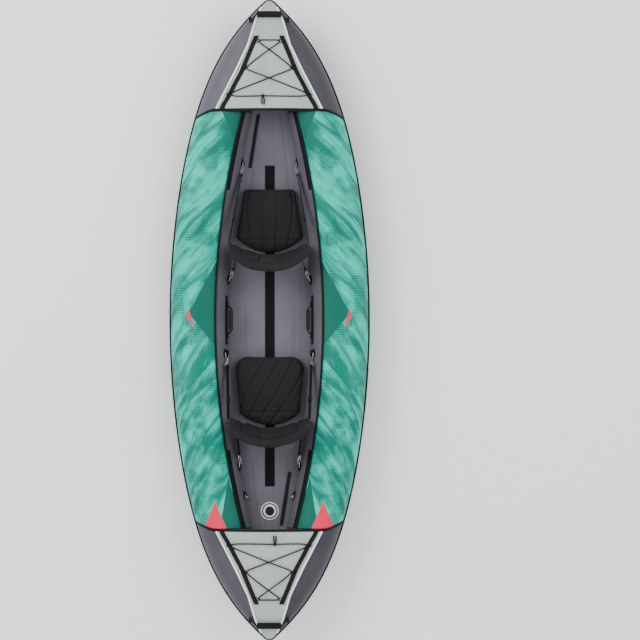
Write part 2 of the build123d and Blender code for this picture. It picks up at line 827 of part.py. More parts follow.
def ear_point(seat):
    """Middle of the ear's edge, where a front strap is sewn."""
    frame = back_frame(seat)
    turn = math.radians(BACK_HALF_ANGLE)
    middle = BACK_RADIUS + BACK_THICKNESS / 2
    forward = BACK_RADIUS - middle * math.cos(turn)
    across = Vector(middle * math.sin(turn), 0, 0)
    return frame.origin + across + frame.y_dir * forward + frame.z_dir * EAR_STRAP_HEIGHT


def rear_point(seat):
    """Point on the back of the backrest, where a rear strap is sewn."""
    frame = back_frame(seat)
    turn = math.radians(REAR_STRAP_ANGLE)
    outside = BACK_RADIUS + BACK_THICKNESS + REAR_STRAP_STAND
    forward = BACK_RADIUS - outside * math.cos(turn)
    across = Vector(outside * math.sin(turn), 0, 0)
    return frame.origin + across + frame.y_dir * forward + frame.z_dir * REAR_STRAP_HEIGHT


# station and half width of each starboard ring
RING_PLACES = {
    "bow": {"front": (790.0, 138.0), "rear": (200.0, 206.0)},
    "stern": {"front": (-168.0, 218.0), "rear": (-735.0, 152.0)},
}
patches = []
rings = []
hooks = []
for place, seat in SEATS.items():
    straps = []
    buckles = []
    for end, target in (("front", ear_point(seat)), ("rear", rear_point(seat))):
        patch, ring = ring_planes(*RING_PLACES[place][end], target)
        patches.append(patch_block(patch, ring))
        rings.append(ring_block(ring))
        hooks.append(hook_block(ring))
        straps.append(strap_block(ring, target))
        if end == "front":
            buckles.append(buckle_block(ring, target))
    with BuildPart() as seat_straps:
        add(straps)
        mirror(about=Plane.YZ)
    save(seat_straps, f"{place}_seat_straps")
    with BuildPart() as seat_buckles:
        add(buckles)
        mirror(about=Plane.YZ)
    save(seat_buckles, f"{place}_seat_buckles")

with BuildPart() as seat_rings:
    add(rings)
    mirror(about=Plane.YZ)
save(seat_rings, "seat_rings")

with BuildPart() as snap_hooks:
    add(hooks)
    mirror(about=Plane.YZ)
save(snap_hooks, "snap_hooks")

# spare tie-down rings by the stern deck, free to turn on their bars
SPARE_Y = -880.0
SPARE_X = 124.0
SPARE_LIE = 70.0             # the ring lies aft, towards a point this far along the tube
spare_angle = inner_angle(SPARE_Y, SPARE_X)
spare_target = tube_point(SPARE_Y - SPARE_LIE, inner_angle(SPARE_Y - SPARE_LIE, SPARE_X - 12), 14)
spare_patch, spare_ring = ring_planes(SPARE_Y, SPARE_X, spare_target)
patches.append(patch_block(spare_patch, spare_ring))
with BuildPart() as starboard_spare_ring:
    add(ring_block(spare_ring))
save(starboard_spare_ring, "starboard_spare_ring")
with BuildPart() as port_spare_ring:
    mirror(starboard_spare_ring.part, about=Plane.YZ)
save(port_spare_ring, "port_spare_ring")
print("spare ring pivot", spare_ring.origin, "axis", spare_ring.x_dir)

with BuildPart() as ring_patches:
    add(patches)
    mirror(about=Plane.YZ)
save(ring_patches, "ring_patches")

# ---------------------------------------------------------------- carry handles inside the side tubes
HANDLE_BAR = 8.0
HANDLE_REACH = 24.0
HANDLE_GRIP_HALF = 58.0
HANDLE_PIVOT_HALF = 84.0
HANDLE_END = 94.0
TAB_HALF = 6.0
GRIP_RADIUS = 9.0
GRIP_GAP = 0.3
CARRY_X = 217.0
CARRY_PATCH_HALF = 122.0
CARRY_PATCH_WIDTH = 24.0
CARRY_FLOP = 70.0            # degrees that the handle hangs down from straight out
TAB_OUTSIDE = HANDLE_BAR / 2 + TAB_CLEARANCE + TAB_WALL

carry_angle = inner_angle(0, CARRY_X)
carry_normal = tube_normal(0, carry_angle)
carry_axis = tube_point(0, carry_angle) + carry_normal * (LAYER_GAP + PATCH_THICKNESS + TAB_OUTSIDE - TAB_CLEARANCE)
carry_turn = math.radians(CARRY_FLOP)
carry_down = Vector(0, 1, 0).cross(carry_normal) * -1
carry_out = carry_normal * math.cos(carry_turn) + carry_down * math.sin(carry_turn)
carry_plane = Plane(origin=carry_axis, x_dir=(0, 1, 0), z_dir=Vector(0, 1, 0).cross(carry_out))
print("carry handle pivot", carry_axis, "normal", carry_normal, "down", carry_down)


def handle_bar(plane, pivot_end, shoulder, grip_half, reach):
    """Webbing rolled into a cord: straight ends in the tabs, raised middle for the hand."""
    with BuildLine(plane) as path:
        FilletPolyline(
            (-pivot_end, 0), (-shoulder, 0), (-grip_half, reach), (grip_half, reach), (shoulder, 0), (pivot_end, 0),
            radius=[8, 10, 10, 8],
        )
    with BuildPart() as bar:
        with BuildSketch(Plane(origin=path.line @ 0, z_dir=plane.x_dir)):
            Circle(HANDLE_BAR / 2)
        sweep(path=path.line)
    return bar.part


def handle_grip(plane, half, reach):
    """Soft grip tube round the middle of a handle."""
    with BuildPart() as grip:
        with BuildSketch(Plane(origin=plane.origin + plane.y_dir * reach, z_dir=plane.x_dir)):
            Circle(GRIP_RADIUS)
            Circle(HANDLE_BAR / 2 + GRIP_GAP, mode=Mode.SUBTRACT)
        extrude(amount=half, both=True)
    return grip.part


with BuildPart() as starboard_carry_handle:
    add(handle_bar(carry_plane, HANDLE_END, HANDLE_GRIP_HALF + 14, HANDLE_GRIP_HALF, HANDLE_REACH))
save(starboard_carry_handle, "starboard_carry_handle")
with BuildPart() as port_carry_handle:
    mirror(starboard_carry_handle.part, about=Plane.YZ)
save(port_carry_handle, "port_carry_handle")

with BuildPart() as starboard_carry_grip:
    add(handle_grip(carry_plane, HANDLE_GRIP_HALF - 8, HANDLE_REACH))
save(starboard_carry_grip, "starboard_carry_grip")
with BuildPart() as port_carry_grip:
    mirror(starboard_carry_grip.part, about=Plane.YZ)
save(port_carry_grip, "port_carry_grip")


def carry_patch_section(y):
    inside = panel_radius(y) + LAYER_GAP
    half = math.degrees(CARRY_PATCH_WIDTH / 2 / inside)
    return ring_sector(y, carry_angle - half, carry_angle + half, inside, inside + PATCH_THICKNESS)


carry_sections = [carry_patch_section(y) for y in (-CARRY_PATCH_HALF, 0, CARRY_PATCH_HALF)]
with BuildPart() as carry_patches:
    loft(sections=carry_sections)
    for pivot in (-HANDLE_PIVOT_HALF, HANDLE_PIVOT_HALF):
        with BuildSketch(Plane(origin=carry_axis + Vector(0, pivot, 0), z_dir=(0, 1, 0))):
            Circle(TAB_OUTSIDE)
        extrude(amount=TAB_HALF, both=True)
    with BuildSketch(Plane(origin=carry_axis, z_dir=(0, 1, 0))):
        Circle(HANDLE_BAR / 2 + TAB_CLEARANCE)
    extrude(amount=CARRY_PATCH_HALF * 2, both=True, mode=Mode.SUBTRACT)
    mirror(about=Plane.YZ)
save(carry_patches, "carry_patches")

# ---------------------------------------------------------------- grab handles at the tips
GRAB_Y = 1497.0
GRAB_END = 100.0
GRAB_SHOULDER = 84.0
GRAB_HALF = 62.0
GRAB_REACH = 26.0
GRAB_LIFT = 9.0              # pivot above the deck's ridge
ANCHOR_INSIDE = 90.0
ANCHOR_OUTSIDE = 100.0
ANCHOR_HALF = 11.0
ANCHOR_WALL = 2.5
ANCHOR_LIFT = 2.6
grab_axis = Vector(0, GRAB_Y, deck_z(0, GRAB_Y) + GRAB_LIFT)
grab_plane = Plane(origin=grab_axis, x_dir=(1, 0, 0), z_dir=(0, 0, 1))
print("grab handle pivot", grab_axis)

with BuildPart() as bow_grab_handle:
    add(handle_bar(grab_plane, GRAB_END, GRAB_SHOULDER, GRAB_HALF, GRAB_REACH))
save(bow_grab_handle, "bow_grab_handle")
with BuildPart() as stern_grab_handle:
    mirror(bow_grab_handle.part, about=Plane.XZ)
save(stern_grab_handle, "stern_grab_handle")

with BuildPart() as bow_grab_grip:
    add(handle_grip(grab_plane, GRAB_HALF - 8, GRAB_REACH))
save(bow_grab_grip, "bow_grab_grip")
with BuildPart() as stern_grab_grip:
    mirror(bow_grab_grip.part, about=Plane.XZ)
save(stern_grab_grip, "stern_grab_grip")


def anchor_section(y):
    """Stitched block of webbing that stands on the deck's shoulder under a handle's end."""
    top = grab_axis.Z + HANDLE_BAR / 2 + TAB_CLEARANCE + ANCHOR_WALL
    with BuildSketch(station(y)) as section:
        with BuildLine():
            Polyline(
                (ANCHOR_INSIDE, deck_z(ANCHOR_INSIDE, y) + ANCHOR_LIFT),
                (ANCHOR_OUTSIDE, deck_z(ANCHOR_OUTSIDE, y) + ANCHOR_LIFT),
                (ANCHOR_OUTSIDE, top),
                (ANCHOR_INSIDE, top),
                close=True,
            )
        make_face()
    return face_of(section)


anchor_sections = [anchor_section(GRAB_Y + step) for step in (-ANCHOR_HALF, 0, ANCHOR_HALF)]
with BuildPart() as grab_anchors:
    loft(sections=anchor_sections)
    with BuildSketch(Plane(origin=grab_axis, z_dir=(1, 0, 0))):
        Circle(HANDLE_BAR / 2 + TAB_CLEARANCE)
    extrude(amount=GRAB_END * 2, both=True, mode=Mode.SUBTRACT)
    mirror(about=Plane.YZ)
    mirror(about=Plane.XZ)
save(grab_anchors, "grab_anchors")

# ---------------------------------------------------------------- zips over the chamber valves
ZIP_WIDTH = 16.0
ZIP_THICKNESS = 1.5
ZIP_TEETH_WIDTH = 5.0
ZIP_TEETH_HEIGHT = 1.6
SLIDER_LENGTH = 12.0
SLIDER_WIDTH = 9.0
SLIDER_HEIGHT = 5.0
ZIP_BOW = Vector(-57, 1036, 0)
ZIP_AFT = Vector(-100, 768, 0)
ZIP_LIFT = 0.5


def on_floor(point):
    return Vector(point.X, point.Y, floor_z(point.Y) + ZIP_LIFT)


zip_start = on_floor(ZIP_AFT)
zip_end = on_floor(ZIP_BOW)
zip_run = zip_end - zip_start
zip_side = zip_run.cross(Vector(0, 0, 1)).normalized()
zip_plane = Plane(origin=zip_start, x_dir=zip_side, z_dir=zip_run)
zip_up = zip_plane.y_dir * (1 if zip_plane.y_dir.Z > 0 else -1)

with BuildPart() as bow_zip:
    with BuildSketch(Plane(origin=zip_start + zip_up * ZIP_THICKNESS / 2, x_dir=zip_side, z_dir=zip_run)):
        Rectangle(ZIP_WIDTH, ZIP_THICKNESS)
    extrude(amount=zip_run.length)
    teeth_centre = zip_start + zip_up * (ZIP_THICKNESS + ZIP_TEETH_HEIGHT / 2)
    with BuildSketch(Plane(origin=teeth_centre, x_dir=zip_side, z_dir=zip_run)):
        Rectangle(ZIP_TEETH_WIDTH, ZIP_TEETH_HEIGHT)
    extrude(amount=zip_run.length)
save(bow_zip, "bow_zip")

slider_base = zip_start + zip_up * (ZIP_THICKNESS + SEAT_GAP) + zip_run.normalized() * SLIDER_LENGTH / 4
with BuildPart() as bow_zip_slider:
    with BuildSketch(
        Plane(origin=slider_base + zip_up * SLIDER_HEIGHT / 2, x_dir=zip_side, z_dir=zip_run)
    ):
        Rectangle(SLIDER_WIDTH, SLIDER_HEIGHT)
    extrude(amount=SLIDER_LENGTH)
    tunnel = slider_base + zip_up * (ZIP_TEETH_HEIGHT / 2 - SEAT_GAP)
    with BuildSketch(Plane(origin=tunnel, x_dir=zip_side, z_dir=zip_run)):
        Rectangle(ZIP_TEETH_WIDTH + 2 * SEAT_GAP, ZIP_TEETH_HEIGHT + 2 * SEAT_GAP)
    extrude(amount=SLIDER_LENGTH, mode=Mode.SUBTRACT)
    tab_base = slider_base + zip_up * (SLIDER_HEIGHT - 0.8)
    with BuildSketch(Plane(origin=tab_base + zip_up * 0.8, x_dir=zip_side, z_dir=zip_run)):
        Rectangle(SLIDER_WIDTH * 0.6, 1.6)
    extrude(amount=SLIDER_LENGTH * 2.2)
save(bow_zip_slider, "bow_zip_slider")

with BuildPart() as stern_zip:
    mirrored = mirror(bow_zip.part, about=Plane.XZ, mode=Mode.PRIVATE)
    mirror(mirrored, about=Plane.YZ)
save(stern_zip, "stern_zip")
with BuildPart() as stern_zip_slider:
    mirrored = mirror(bow_zip_slider.part, about=Plane.XZ, mode=Mode.PRIVATE)
    mirror(mirrored, about=Plane.YZ)
save(stern_zip_slider, "stern_zip_slider")
print("zip direction", zip_run.normalized(), "length", zip_run.length)

# ---------------------------------------------------------------- floor valve
CAP_RADIUS = 23.0
CAP_HEIGHT = 4.0
CAP_PLUG = 4.0
CAP_GRIP_LENGTH = 34.0
CAP_GRIP_WIDTH = 6.0
CAP_GRIP_HEIGHT = 5.0
SPIDER_DEPTH = 16.0
SPIDER_THICKNESS = 3.0
SPIDER_WIDTH = 4.0
SPIDER_HUB = 6.0
PIN_RADIUS = 3.0
PIN_GAP = 0.05
PIN_ABOVE = 7.0
PIN_BELOW = 9.0
SEAL_RADIUS = 20.5
SEAL_THICKNESS = 2.0
BUTTON_RADIUS = 6.0

with BuildPart() as valve_body:
    with BuildSketch(valve_plane):
        Circle(VALVE_FLANGE_RADIUS)
    extrude(amount=VALVE_FLANGE)
    with BuildSketch(valve_plane.offset(-VALVE_DEPTH)):
        Circle(VALVE_BODY_RADIUS)
    extrude(amount=VALVE_DEPTH + VALVE_RIM)
    with BuildSketch(valve_plane.offset(-VALVE_DEPTH)):
        Circle(VALVE_BORE_RADIUS)
    extrude(amount=VALVE_DEPTH + VALVE_RIM, mode=Mode.SUBTRACT)
    with BuildSketch(valve_plane.offset(-SPIDER_DEPTH)):
        Rectangle(2 * VALVE_BORE_RADIUS + 1, SPIDER_WIDTH)
        Rectangle(SPIDER_WIDTH, 2 * VALVE_BORE_RADIUS + 1)
        Circle(SPIDER_HUB)
        Circle(PIN_RADIUS + PIN_GAP, mode=Mode.SUBTRACT)
    extrude(amount=SPIDER_THICKNESS)
save(valve_body, "valve_body")

with BuildPart() as valve_pin:
    with BuildSketch(valve_plane.offset(-SPIDER_DEPTH - PIN_BELOW)):
        Circle(PIN_RADIUS)
    extrude(amount=PIN_BELOW + SPIDER_THICKNESS + PIN_ABOVE)
    with BuildSketch(valve_plane.offset(-SPIDER_DEPTH - PIN_BELOW)):
        Circle(SEAL_RADIUS)
    extrude(amount=SEAL_THICKNESS)
    with BuildSketch(valve_plane.offset(-SPIDER_DEPTH + SPIDER_THICKNESS + PIN_ABOVE - SEAL_THICKNESS)):
        Circle(BUTTON_RADIUS)
    extrude(amount=SEAL_THICKNESS)
save(valve_pin, "valve_pin")

with BuildPart() as valve_cap:
    with BuildSketch(valve_plane.offset(VALVE_RIM + SEAT_GAP)):
        Circle(CAP_RADIUS)
    extrude(amount=CAP_HEIGHT)
    with BuildSketch(valve_plane.offset(VALVE_RIM + SEAT_GAP - CAP_PLUG)):
        Circle(VALVE_BORE_RADIUS - SEAT_GAP)
    extrude(amount=CAP_PLUG)
    with BuildSketch(valve_plane.offset(VALVE_RIM + SEAT_GAP + CAP_HEIGHT)):
        SlotOverall(CAP_GRIP_LENGTH, CAP_GRIP_WIDTH, rotation=35)
    extrude(amount=CAP_GRIP_HEIGHT)
save(valve_cap, "valve_cap")
print("valve", valve_plane.origin, "axis", valve_plane.z_dir)

# ---------------------------------------------------------------- fin under the stern
FIN_Y = -1290.0
FIN_BASE_LENGTH = 170.0
FIN_BASE_WIDTH = 70.0
FIN_BASE_THICKNESS = 2.5
FIN_RAIL_LENGTH = 150.0
FIN_RAIL_WIDTH = 26.0
FIN_RAIL_HEIGHT = 10.0
FIN_FOOT_WIDTH = 16.0
FIN_FOOT_HEIGHT = 4.0
FIN_FOOT_LENGTH = 120.0
FIN_THICKNESS = 6.0
FIN_DEPTH = 48.0
FIN_TIP = 40.0
FIN_GAP = 0.4
fin_slope = math.radians(slope_angle(FIN_Y))
fin_aft = Vector(0, -math.cos(fin_slope), -math.sin(fin_slope))
fin_down = Vector(0, math.sin(fin_slope), -math.cos(fin_slope))
fin_origin = Vector(0, FIN_Y, keel_rise(FIN_Y) - FLAT_CUT) + fin_down * SEAT_GAP
fin_plane = Plane(origin=fin_origin, x_dir=fin_aft, z_dir=fin_down)

slot_top = FIN_BASE_THICKNESS + FIN_RAIL_HEIGHT - 3.0 - FIN_FOOT_HEIGHT - 2 * FIN_GAP
with BuildPart() as fin_box:
    with BuildSketch(fin_plane):
        RectangleRounded(FIN_BASE_LENGTH, FIN_BASE_WIDTH, 12)
    extrude(amount=FIN_BASE_THICKNESS)
    with BuildSketch(fin_plane.offset(FIN_BASE_THICKNESS)):
        Rectangle(FIN_RAIL_LENGTH, FIN_RAIL_WIDTH)
    extrude(amount=FIN_RAIL_HEIGHT)
    slot_length = FIN_FOOT_LENGTH + 2 * FIN_GAP
    slot_centre = FIN_RAIL_LENGTH / 2 - slot_length / 2
    with BuildSketch(fin_plane.offset(slot_top)):
        with Locations((slot_centre + 1, 0)):
            Rectangle(slot_length + 2, FIN_FOOT_WIDTH + 2 * FIN_GAP)
    extrude(amount=FIN_FOOT_HEIGHT + 2 * FIN_GAP, mode=Mode.SUBTRACT)
    with BuildSketch(fin_plane.offset(slot_top)):
        with Locations((slot_centre + 1, 0)):
            Rectangle(slot_length + 2, FIN_THICKNESS + 2 * FIN_GAP)
    extrude(amount=FIN_RAIL_HEIGHT, mode=Mode.SUBTRACT)
save(fin_box, "fin_box")

foot_end = FIN_RAIL_LENGTH / 2 - FIN_GAP
foot_start = foot_end - FIN_FOOT_LENGTH
fin_side = Plane(origin=fin_origin, x_dir=fin_aft, z_dir=fin_aft.cross(fin_down))
blade_top = slot_top + FIN_GAP + FIN_FOOT_HEIGHT
with BuildPart() as fin:
    with BuildSketch(fin_plane.offset(slot_top + FIN_GAP)):
        with Locations(((foot_start + foot_end) / 2, 0)):
            Rectangle(FIN_FOOT_LENGTH, FIN_FOOT_WIDTH)
    extrude(amount=FIN_FOOT_HEIGHT)
    with BuildSketch(fin_side):
        with BuildLine():
            Polyline(
                (foot_start, blade_top - 1),
                (foot_end, blade_top - 1),
                (foot_end, blade_top + FIN_DEPTH),
                (foot_end - FIN_TIP, blade_top + FIN_DEPTH),
                close=True,
            )
        make_face()
    extrude(amount=FIN_THICKNESS / 2, both=True)
save(fin, "fin")
print("fin direction", fin_aft, "foot", foot_start, foot_end)

# ---------------------------------------------------------------- shock-cord lacing on the decks
LACING = 5.0
LACING_LIFT = 6.0            # cord's centre above the deck
KNOT_X = -30.0
KNOT_Y = 1113.0
KNOT_RADIUS = 8.7
KNOT_LIFT = 10.2

# the lacing from the knot's port side round to its starboard side: x, y and rise above its usual lift
LACING_ROUTE = [
    (-39.3, 1113, 4), (-110, 1112, 0), (-176, 1113, 1), (-192, 1121, 3), (-180, 1133, 1), (-108, 1161, 0),
    (-28, 1191, 0), (36, 1216, 0), (101, 1241, 0), (115, 1251, 0), (105, 1263, 0), (60, 1299, 0),
    (2, 1343, 0), (-42, 1375, 0), (-54, 1386, 0), (-40, 1393, 0), (8, 1391, 0), (44, 1393, 0),
    (56, 1385, 0), (44, 1374, 0), (16, 1354, 6), (-14, 1331, 6), (-60, 1299, 0), (-104, 1263, 0),
    (-115, 1251, 0), (-101, 1241, 0), (-36, 1216, 6), (14, 1197, 6), (96, 1165, 0), (180, 1133, 1),
    (192, 1121, 3), (176, 1113, 1), (100, 1112, 0), (40, 1112.5, 1), (-20.7, 1113, 4),
]
TAILS = [
    [(-33.4, 1104.3, 4), (-38, 1090, 1), (-34, 1072, 0)],
    [(-26.6, 1104.3, 4), (-21, 1091, 1), (-24, 1070, 0)],
]


def lacing_point(x, y, rise):
    return Vector(x, y, deck_z(x, y) + LACING_LIFT + rise)


def cord_radii(points):
    """Largest even arc at each corner of a cord's route."""
    radii = []
    for before, corner, after in zip(points, points[1:], points[2:]):
        turn = math.radians((corner - before).get_angle(after - corner))
        shorter = min((corner - before).length, (after - corner).length)
        radii.append(0.45 * shorter / math.tan(turn / 2))
    return radii


def cord_block(route, name):
    points = [lacing_point(*place) for place in route]
    radii = cord_radii(points)
    with BuildLine() as path:
        FilletPolyline(*points, radius=radii)
    with BuildPart() as block:
        with BuildSketch(Plane(origin=path.line @ 0, z_dir=path.line % 0)):
            Circle(LACING / 2)
        sweep(path=path.line)
    length = path.wire().length
    expected = math.pi * LACING ** 2 / 4 * length
    print(name, "length", round(length), "radii", [round(r) for r in radii])
    print(name, "volume share", round(block.part.volume / expected, 3))
    return block.part


lacing_solid = cord_block(LACING_ROUTE, "lacing")
tail_solids = [cord_block(route, "tail") for route in TAILS]
with BuildPart() as bow_lacing:
    add(lacing_solid)
    add(tail_solids)
save(bow_lacing, "bow_lacing")

with BuildPart() as bow_knot:
    with Locations((KNOT_X, KNOT_Y, deck_z(KNOT_X, KNOT_Y) + KNOT_LIFT)):
        Sphere(KNOT_RADIUS)
save(bow_knot, "bow_knot")

with BuildPart() as stern_lacing:
    turned = mirror(bow_lacing.part, about=Plane.XZ, mode=Mode.PRIVATE)
    mirror(turned, about=Plane.YZ)
save(stern_lacing, "stern_lacing")
with BuildPart() as stern_knot:
    turned = mirror(bow_knot.part, about=Plane.XZ, mode=Mode.PRIVATE)
    mirror(turned, about=Plane.YZ)
save(stern_knot, "stern_knot")
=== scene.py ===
import math

import bpy
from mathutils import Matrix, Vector, noise


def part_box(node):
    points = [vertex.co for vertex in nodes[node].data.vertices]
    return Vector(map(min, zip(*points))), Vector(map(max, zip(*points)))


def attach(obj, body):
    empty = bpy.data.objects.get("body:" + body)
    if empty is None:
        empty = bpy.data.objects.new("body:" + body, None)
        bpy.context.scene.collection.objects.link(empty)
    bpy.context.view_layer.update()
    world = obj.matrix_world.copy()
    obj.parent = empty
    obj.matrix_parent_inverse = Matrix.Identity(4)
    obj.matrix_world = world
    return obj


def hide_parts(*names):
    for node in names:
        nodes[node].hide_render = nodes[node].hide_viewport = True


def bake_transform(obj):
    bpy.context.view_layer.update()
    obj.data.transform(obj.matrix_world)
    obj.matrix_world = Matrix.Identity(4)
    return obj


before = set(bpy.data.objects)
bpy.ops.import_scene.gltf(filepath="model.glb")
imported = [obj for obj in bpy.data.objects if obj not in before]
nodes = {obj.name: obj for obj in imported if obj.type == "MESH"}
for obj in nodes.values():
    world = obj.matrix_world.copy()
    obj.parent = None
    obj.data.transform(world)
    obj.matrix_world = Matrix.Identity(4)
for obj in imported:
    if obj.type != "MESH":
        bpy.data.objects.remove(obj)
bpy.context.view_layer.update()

# ------------------------------------------------------------------ camera, floor and lights
# The boat lies on a plain pale studio floor and is looked at from straight above through a long lens.
bpy.ops.object.select_all(action="DESELECT")
CAMERA_SHIFT_X = 0.2535
CAMERA_HEIGHT = 14.0
bpy.ops.object.camera_add(location=(CAMERA_SHIFT_X, 0.0, CAMERA_HEIGHT), rotation=(0, 0, 0))
camera = bpy.context.object
camera.data.lens = 154.8
camera.data.sensor_width = 36
camera.data.clip_end = 60
bpy.context.scene.camera = camera

bpy.ops.mesh.primitive_plane_add(size=40, location=(0, 0, -0.001))
studio_floor = bpy.context.object
studio_floor.name = "studio_floor"
floor_paint = bpy.data.materials.new("studio_floor_paint")
floor_paint.use_nodes = True
floor_surface = floor_paint.node_tree.nodes["Principled BSDF"]
floor_surface.inputs["Base Color"].default_value = (0.97, 0.97, 0.97, 1)
floor_surface.inputs["Roughness"].default_value = 0.9
studio_floor.data.materials.append(floor_paint)

world = bpy.data.worlds.new("studio_air")
bpy.context.scene.world = world
world.use_nodes = True
air = world.node_tree.nodes["Background"]
air.inputs["Color"].default_value = (0.93, 0.96, 1.0, 1)
air.inputs["Strength"].default_value = 0.95
# place and power of the three soft boxes
SOFT_BOX_SIZE = 4.0
SOFT_BOXES = (((-4.5, 3.0, 5.5), 420), ((4.5, 2.0, 6.0), 230), ((0.0, -6.0, 5.0), 160))
for place, watts in SOFT_BOXES:
    bpy.ops.object.light_add(type="AREA", location=place)
    lamp = bpy.context.object
    lamp.data.size = SOFT_BOX_SIZE
    lamp.data.energy = watts
    lamp.rotation_euler = Vector(place).to_track_quat("Z", "Y").to_euler()


# ------------------------------------------------------------------ bottom of the hull
# Thick coated tarpaulin, welded along the outer seams to the side panels. It lies under both
# side tubes and the floor, flat in the middle and lifting to the stem and the stern.
LENGTH = 3.2
BEAM = 1.01
OUTLINE_HALF = LENGTH / 2 * 1.0075
TUBE_RADIUS = 0.144
TUBE_TAPER = 0.35
TUBE_SHARE = 0.48
ROCKER = 0.240
PIPING = 0.007
HULL_SKIN = 0.003
PANEL_SKIN = 0.002
LAYER_GAP = 0.0004
SEAT_GAP = 0.0003
FLAT_CUT = 0.0005
FLOOR_DEPTH = 0.084
SEAM_HALF = 0.270
DECK_START = 1.040
NOSE_END = LENGTH / 2 - PIPING - SEAT_GAP
HULL_CLOTH = 0.0022
HULL_WAVE = 0.0006
PUCKER_REACH = 0.030
SLOW_WAVE = 0.0008


def skin_half_width(y):
    """Half the width of the inflated tubes at a station, under their skins."""
    t = abs(y) / OUTLINE_HALF
    return BEAM / 2 * (1 - 0.59 * t ** 2 - 0.41 * t ** 6.5) - PIPING - HULL_SKIN - LAYER_GAP - SEAT_GAP


def tube_radius(y):
    """A tube's own radius, held smaller where the two tubes meet at each end."""
    free = TUBE_RADIUS * (1 - TUBE_TAPER * (abs(y) / (LENGTH / 2)) ** 4)
    held = TUBE_SHARE * skin_half_width(y)
    return (free ** -12 + held ** -12) ** (-1 / 12)


def keel_rise(y):
    return ROCKER * (abs(y) / (LENGTH / 2)) ** 5


def tube_x(y):
    return skin_half_width(y) - tube_radius(y)


def tube_z(y):
    return keel_rise(y) - FLAT_CUT + HULL_SKIN + LAYER_GAP + tube_radius(y)


def panel_radius(y):
    return tube_radius(y) + LAYER_GAP + PANEL_SKIN


def seam_angle(y):
    """Where the inner seam lies round a tube, in radians up from straight outwards."""
    x = SEAM_HALF * (1 - 1.183 * (y / (LENGTH / 2)) ** 2)
    return math.acos((x - tube_x(y)) / panel_radius(y))


def floor_z(y):
    return keel_rise(y) - FLAT_CUT + HULL_SKIN + LAYER_GAP + FLOOR_DEPTH + LAYER_GAP + PANEL_SKIN


def pick(piece):
    """Selects one piece alone and makes it active."""
    bpy.ops.object.select_all(action="DESELECT")
    piece.select_set(True)
    bpy.context.view_layer.objects.active = piece


def grid_cloth(name, rows, columns, place):
    """Cloth laid over the hull: place gives a corner's point and its place on the flat cut."""
    bpy.ops.object.select_all(action="DESELECT")
    bpy.ops.mesh.primitive_grid_add(x_subdivisions=columns, y_subdivisions=rows, size=1)
    cloth = bpy.context.object
    cloth.name = name
    flat = []
    for corner in cloth.data.vertices:
        point, cut = place(corner.co.x + 0.5, corner.co.y + 0.5)
        corner.co = point
        flat.append(cut)
    layer = cloth.data.uv_layers.active.data
    for loop in cloth.data.loops:
        layer[loop.index].uv = flat[loop.vertex_index]
    cloth.data.update()
    bpy.ops.object.shade_smooth()
    return cloth


def give_thickness(cloth, thickness, inside=None):
    """Turns the cloth into a thin wall; its back and its cut edges may have their own colour."""
    wall = cloth.modifiers.new("cloth thickness", "SOLIDIFY")
    wall.thickness = thickness
    wall.offset = -1
    if inside is not None:
        cloth.data.materials.append(inside)
        wall.material_offset = 1
        wall.material_offset_rim = 1
    pick(cloth)
    bpy.ops.object.modifier_apply(modifier=wall.name)


def ripple(along, from_seam, seed, height=0.0016):
    """Puckers that sewing gathers beside a seam, and the slow unevenness of inflated cloth."""
    near = math.exp(-from_seam / PUCKER_REACH)
    gathers = noise.noise(Vector((along * 42, from_seam * 5, seed)))
    slow = noise.noise(Vector((along * 4.5, from_seam * 7, seed + 9)))
    return height * near * gathers + SLOW_WAVE * slow


def bottom_point(across, along):
    """Places the bottom's cloth: flat between the tubes, then a quarter turn up each one."""
    y = (along * 2 - 1) * NOSE_END
    radius = tube_radius(y) + LAYER_GAP + HULL_SKIN
    flat_half = tube_x(y)
    quarter = radius * math.pi / 2
    reach = (across * 2 - 1) * (flat_half + quarter)
    side = math.copysign(1, reach)
    beyond = abs(reach) - flat_half
    wave = HULL_WAVE * noise.noise(Vector((reach * 9, y * 5, 3)))
    if beyond <= 0:
        z = max(0.0, tube_z(y) - radius)
        if keel_rise(y) > 0.004:
            z += abs(wave)
        return Vector((reach, y, z)), (reach, y)
    turn = beyond / radius
    swell = radius + wave * math.sin(2 * turn)
    x = side * (flat_half + swell * math.sin(turn))
    return Vector((x, y, max(0.0, tube_z(y) - swell * math.cos(turn)))), (reach, y)


hull_skin = grid_cloth("hull_skin", 400, 116, bottom_point)
bpy.ops.object.mode_set(mode="EDIT")
bpy.ops.mesh.select_all(action="SELECT")
bpy.ops.mesh.flip_normals()
bpy.ops.object.mode_set(mode="OBJECT")
give_thickness(hull_skin, HULL_CLOTH)
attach(hull_skin, "hull")
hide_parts("hull_bottom")


def feed(tree, value, socket):
    """Wires a node or an output into an input, or sets the input's own value."""
    if isinstance(value, bpy.types.Node):
        value = value.outputs[0]
    if isinstance(value, bpy.types.NodeSocket):
        tree.links.new(value, socket)
    elif value is not None:
        socket.default_value = value


def put(tree, kind, values=(), **settings):
    """A node with its settings, its inputs wired or set in order."""
    made = tree.nodes.new("ShaderNode" + kind)
    for key, value in settings.items():
        setattr(made, key, value)
    for place, value in enumerate(values):
        feed(tree, value, made.inputs[place])
    return made


def calc(tree, operation, *values):
    return put(tree, "Math", values, operation=operation)


def new_group(name, inputs, outputs):
    """An empty node group with named sockets, its input node and its output node."""
    group = bpy.data.node_groups.new(name, "ShaderNodeTree")
    for label, kind in inputs:
        group.interface.new_socket(label, in_out="INPUT", socket_type="NodeSocket" + kind)
    for label, kind in outputs:
        group.interface.new_socket(label, in_out="OUTPUT", socket_type="NodeSocket" + kind)
    return group, group.nodes.new("NodeGroupInput"), group.nodes.new("NodeGroupOutput")


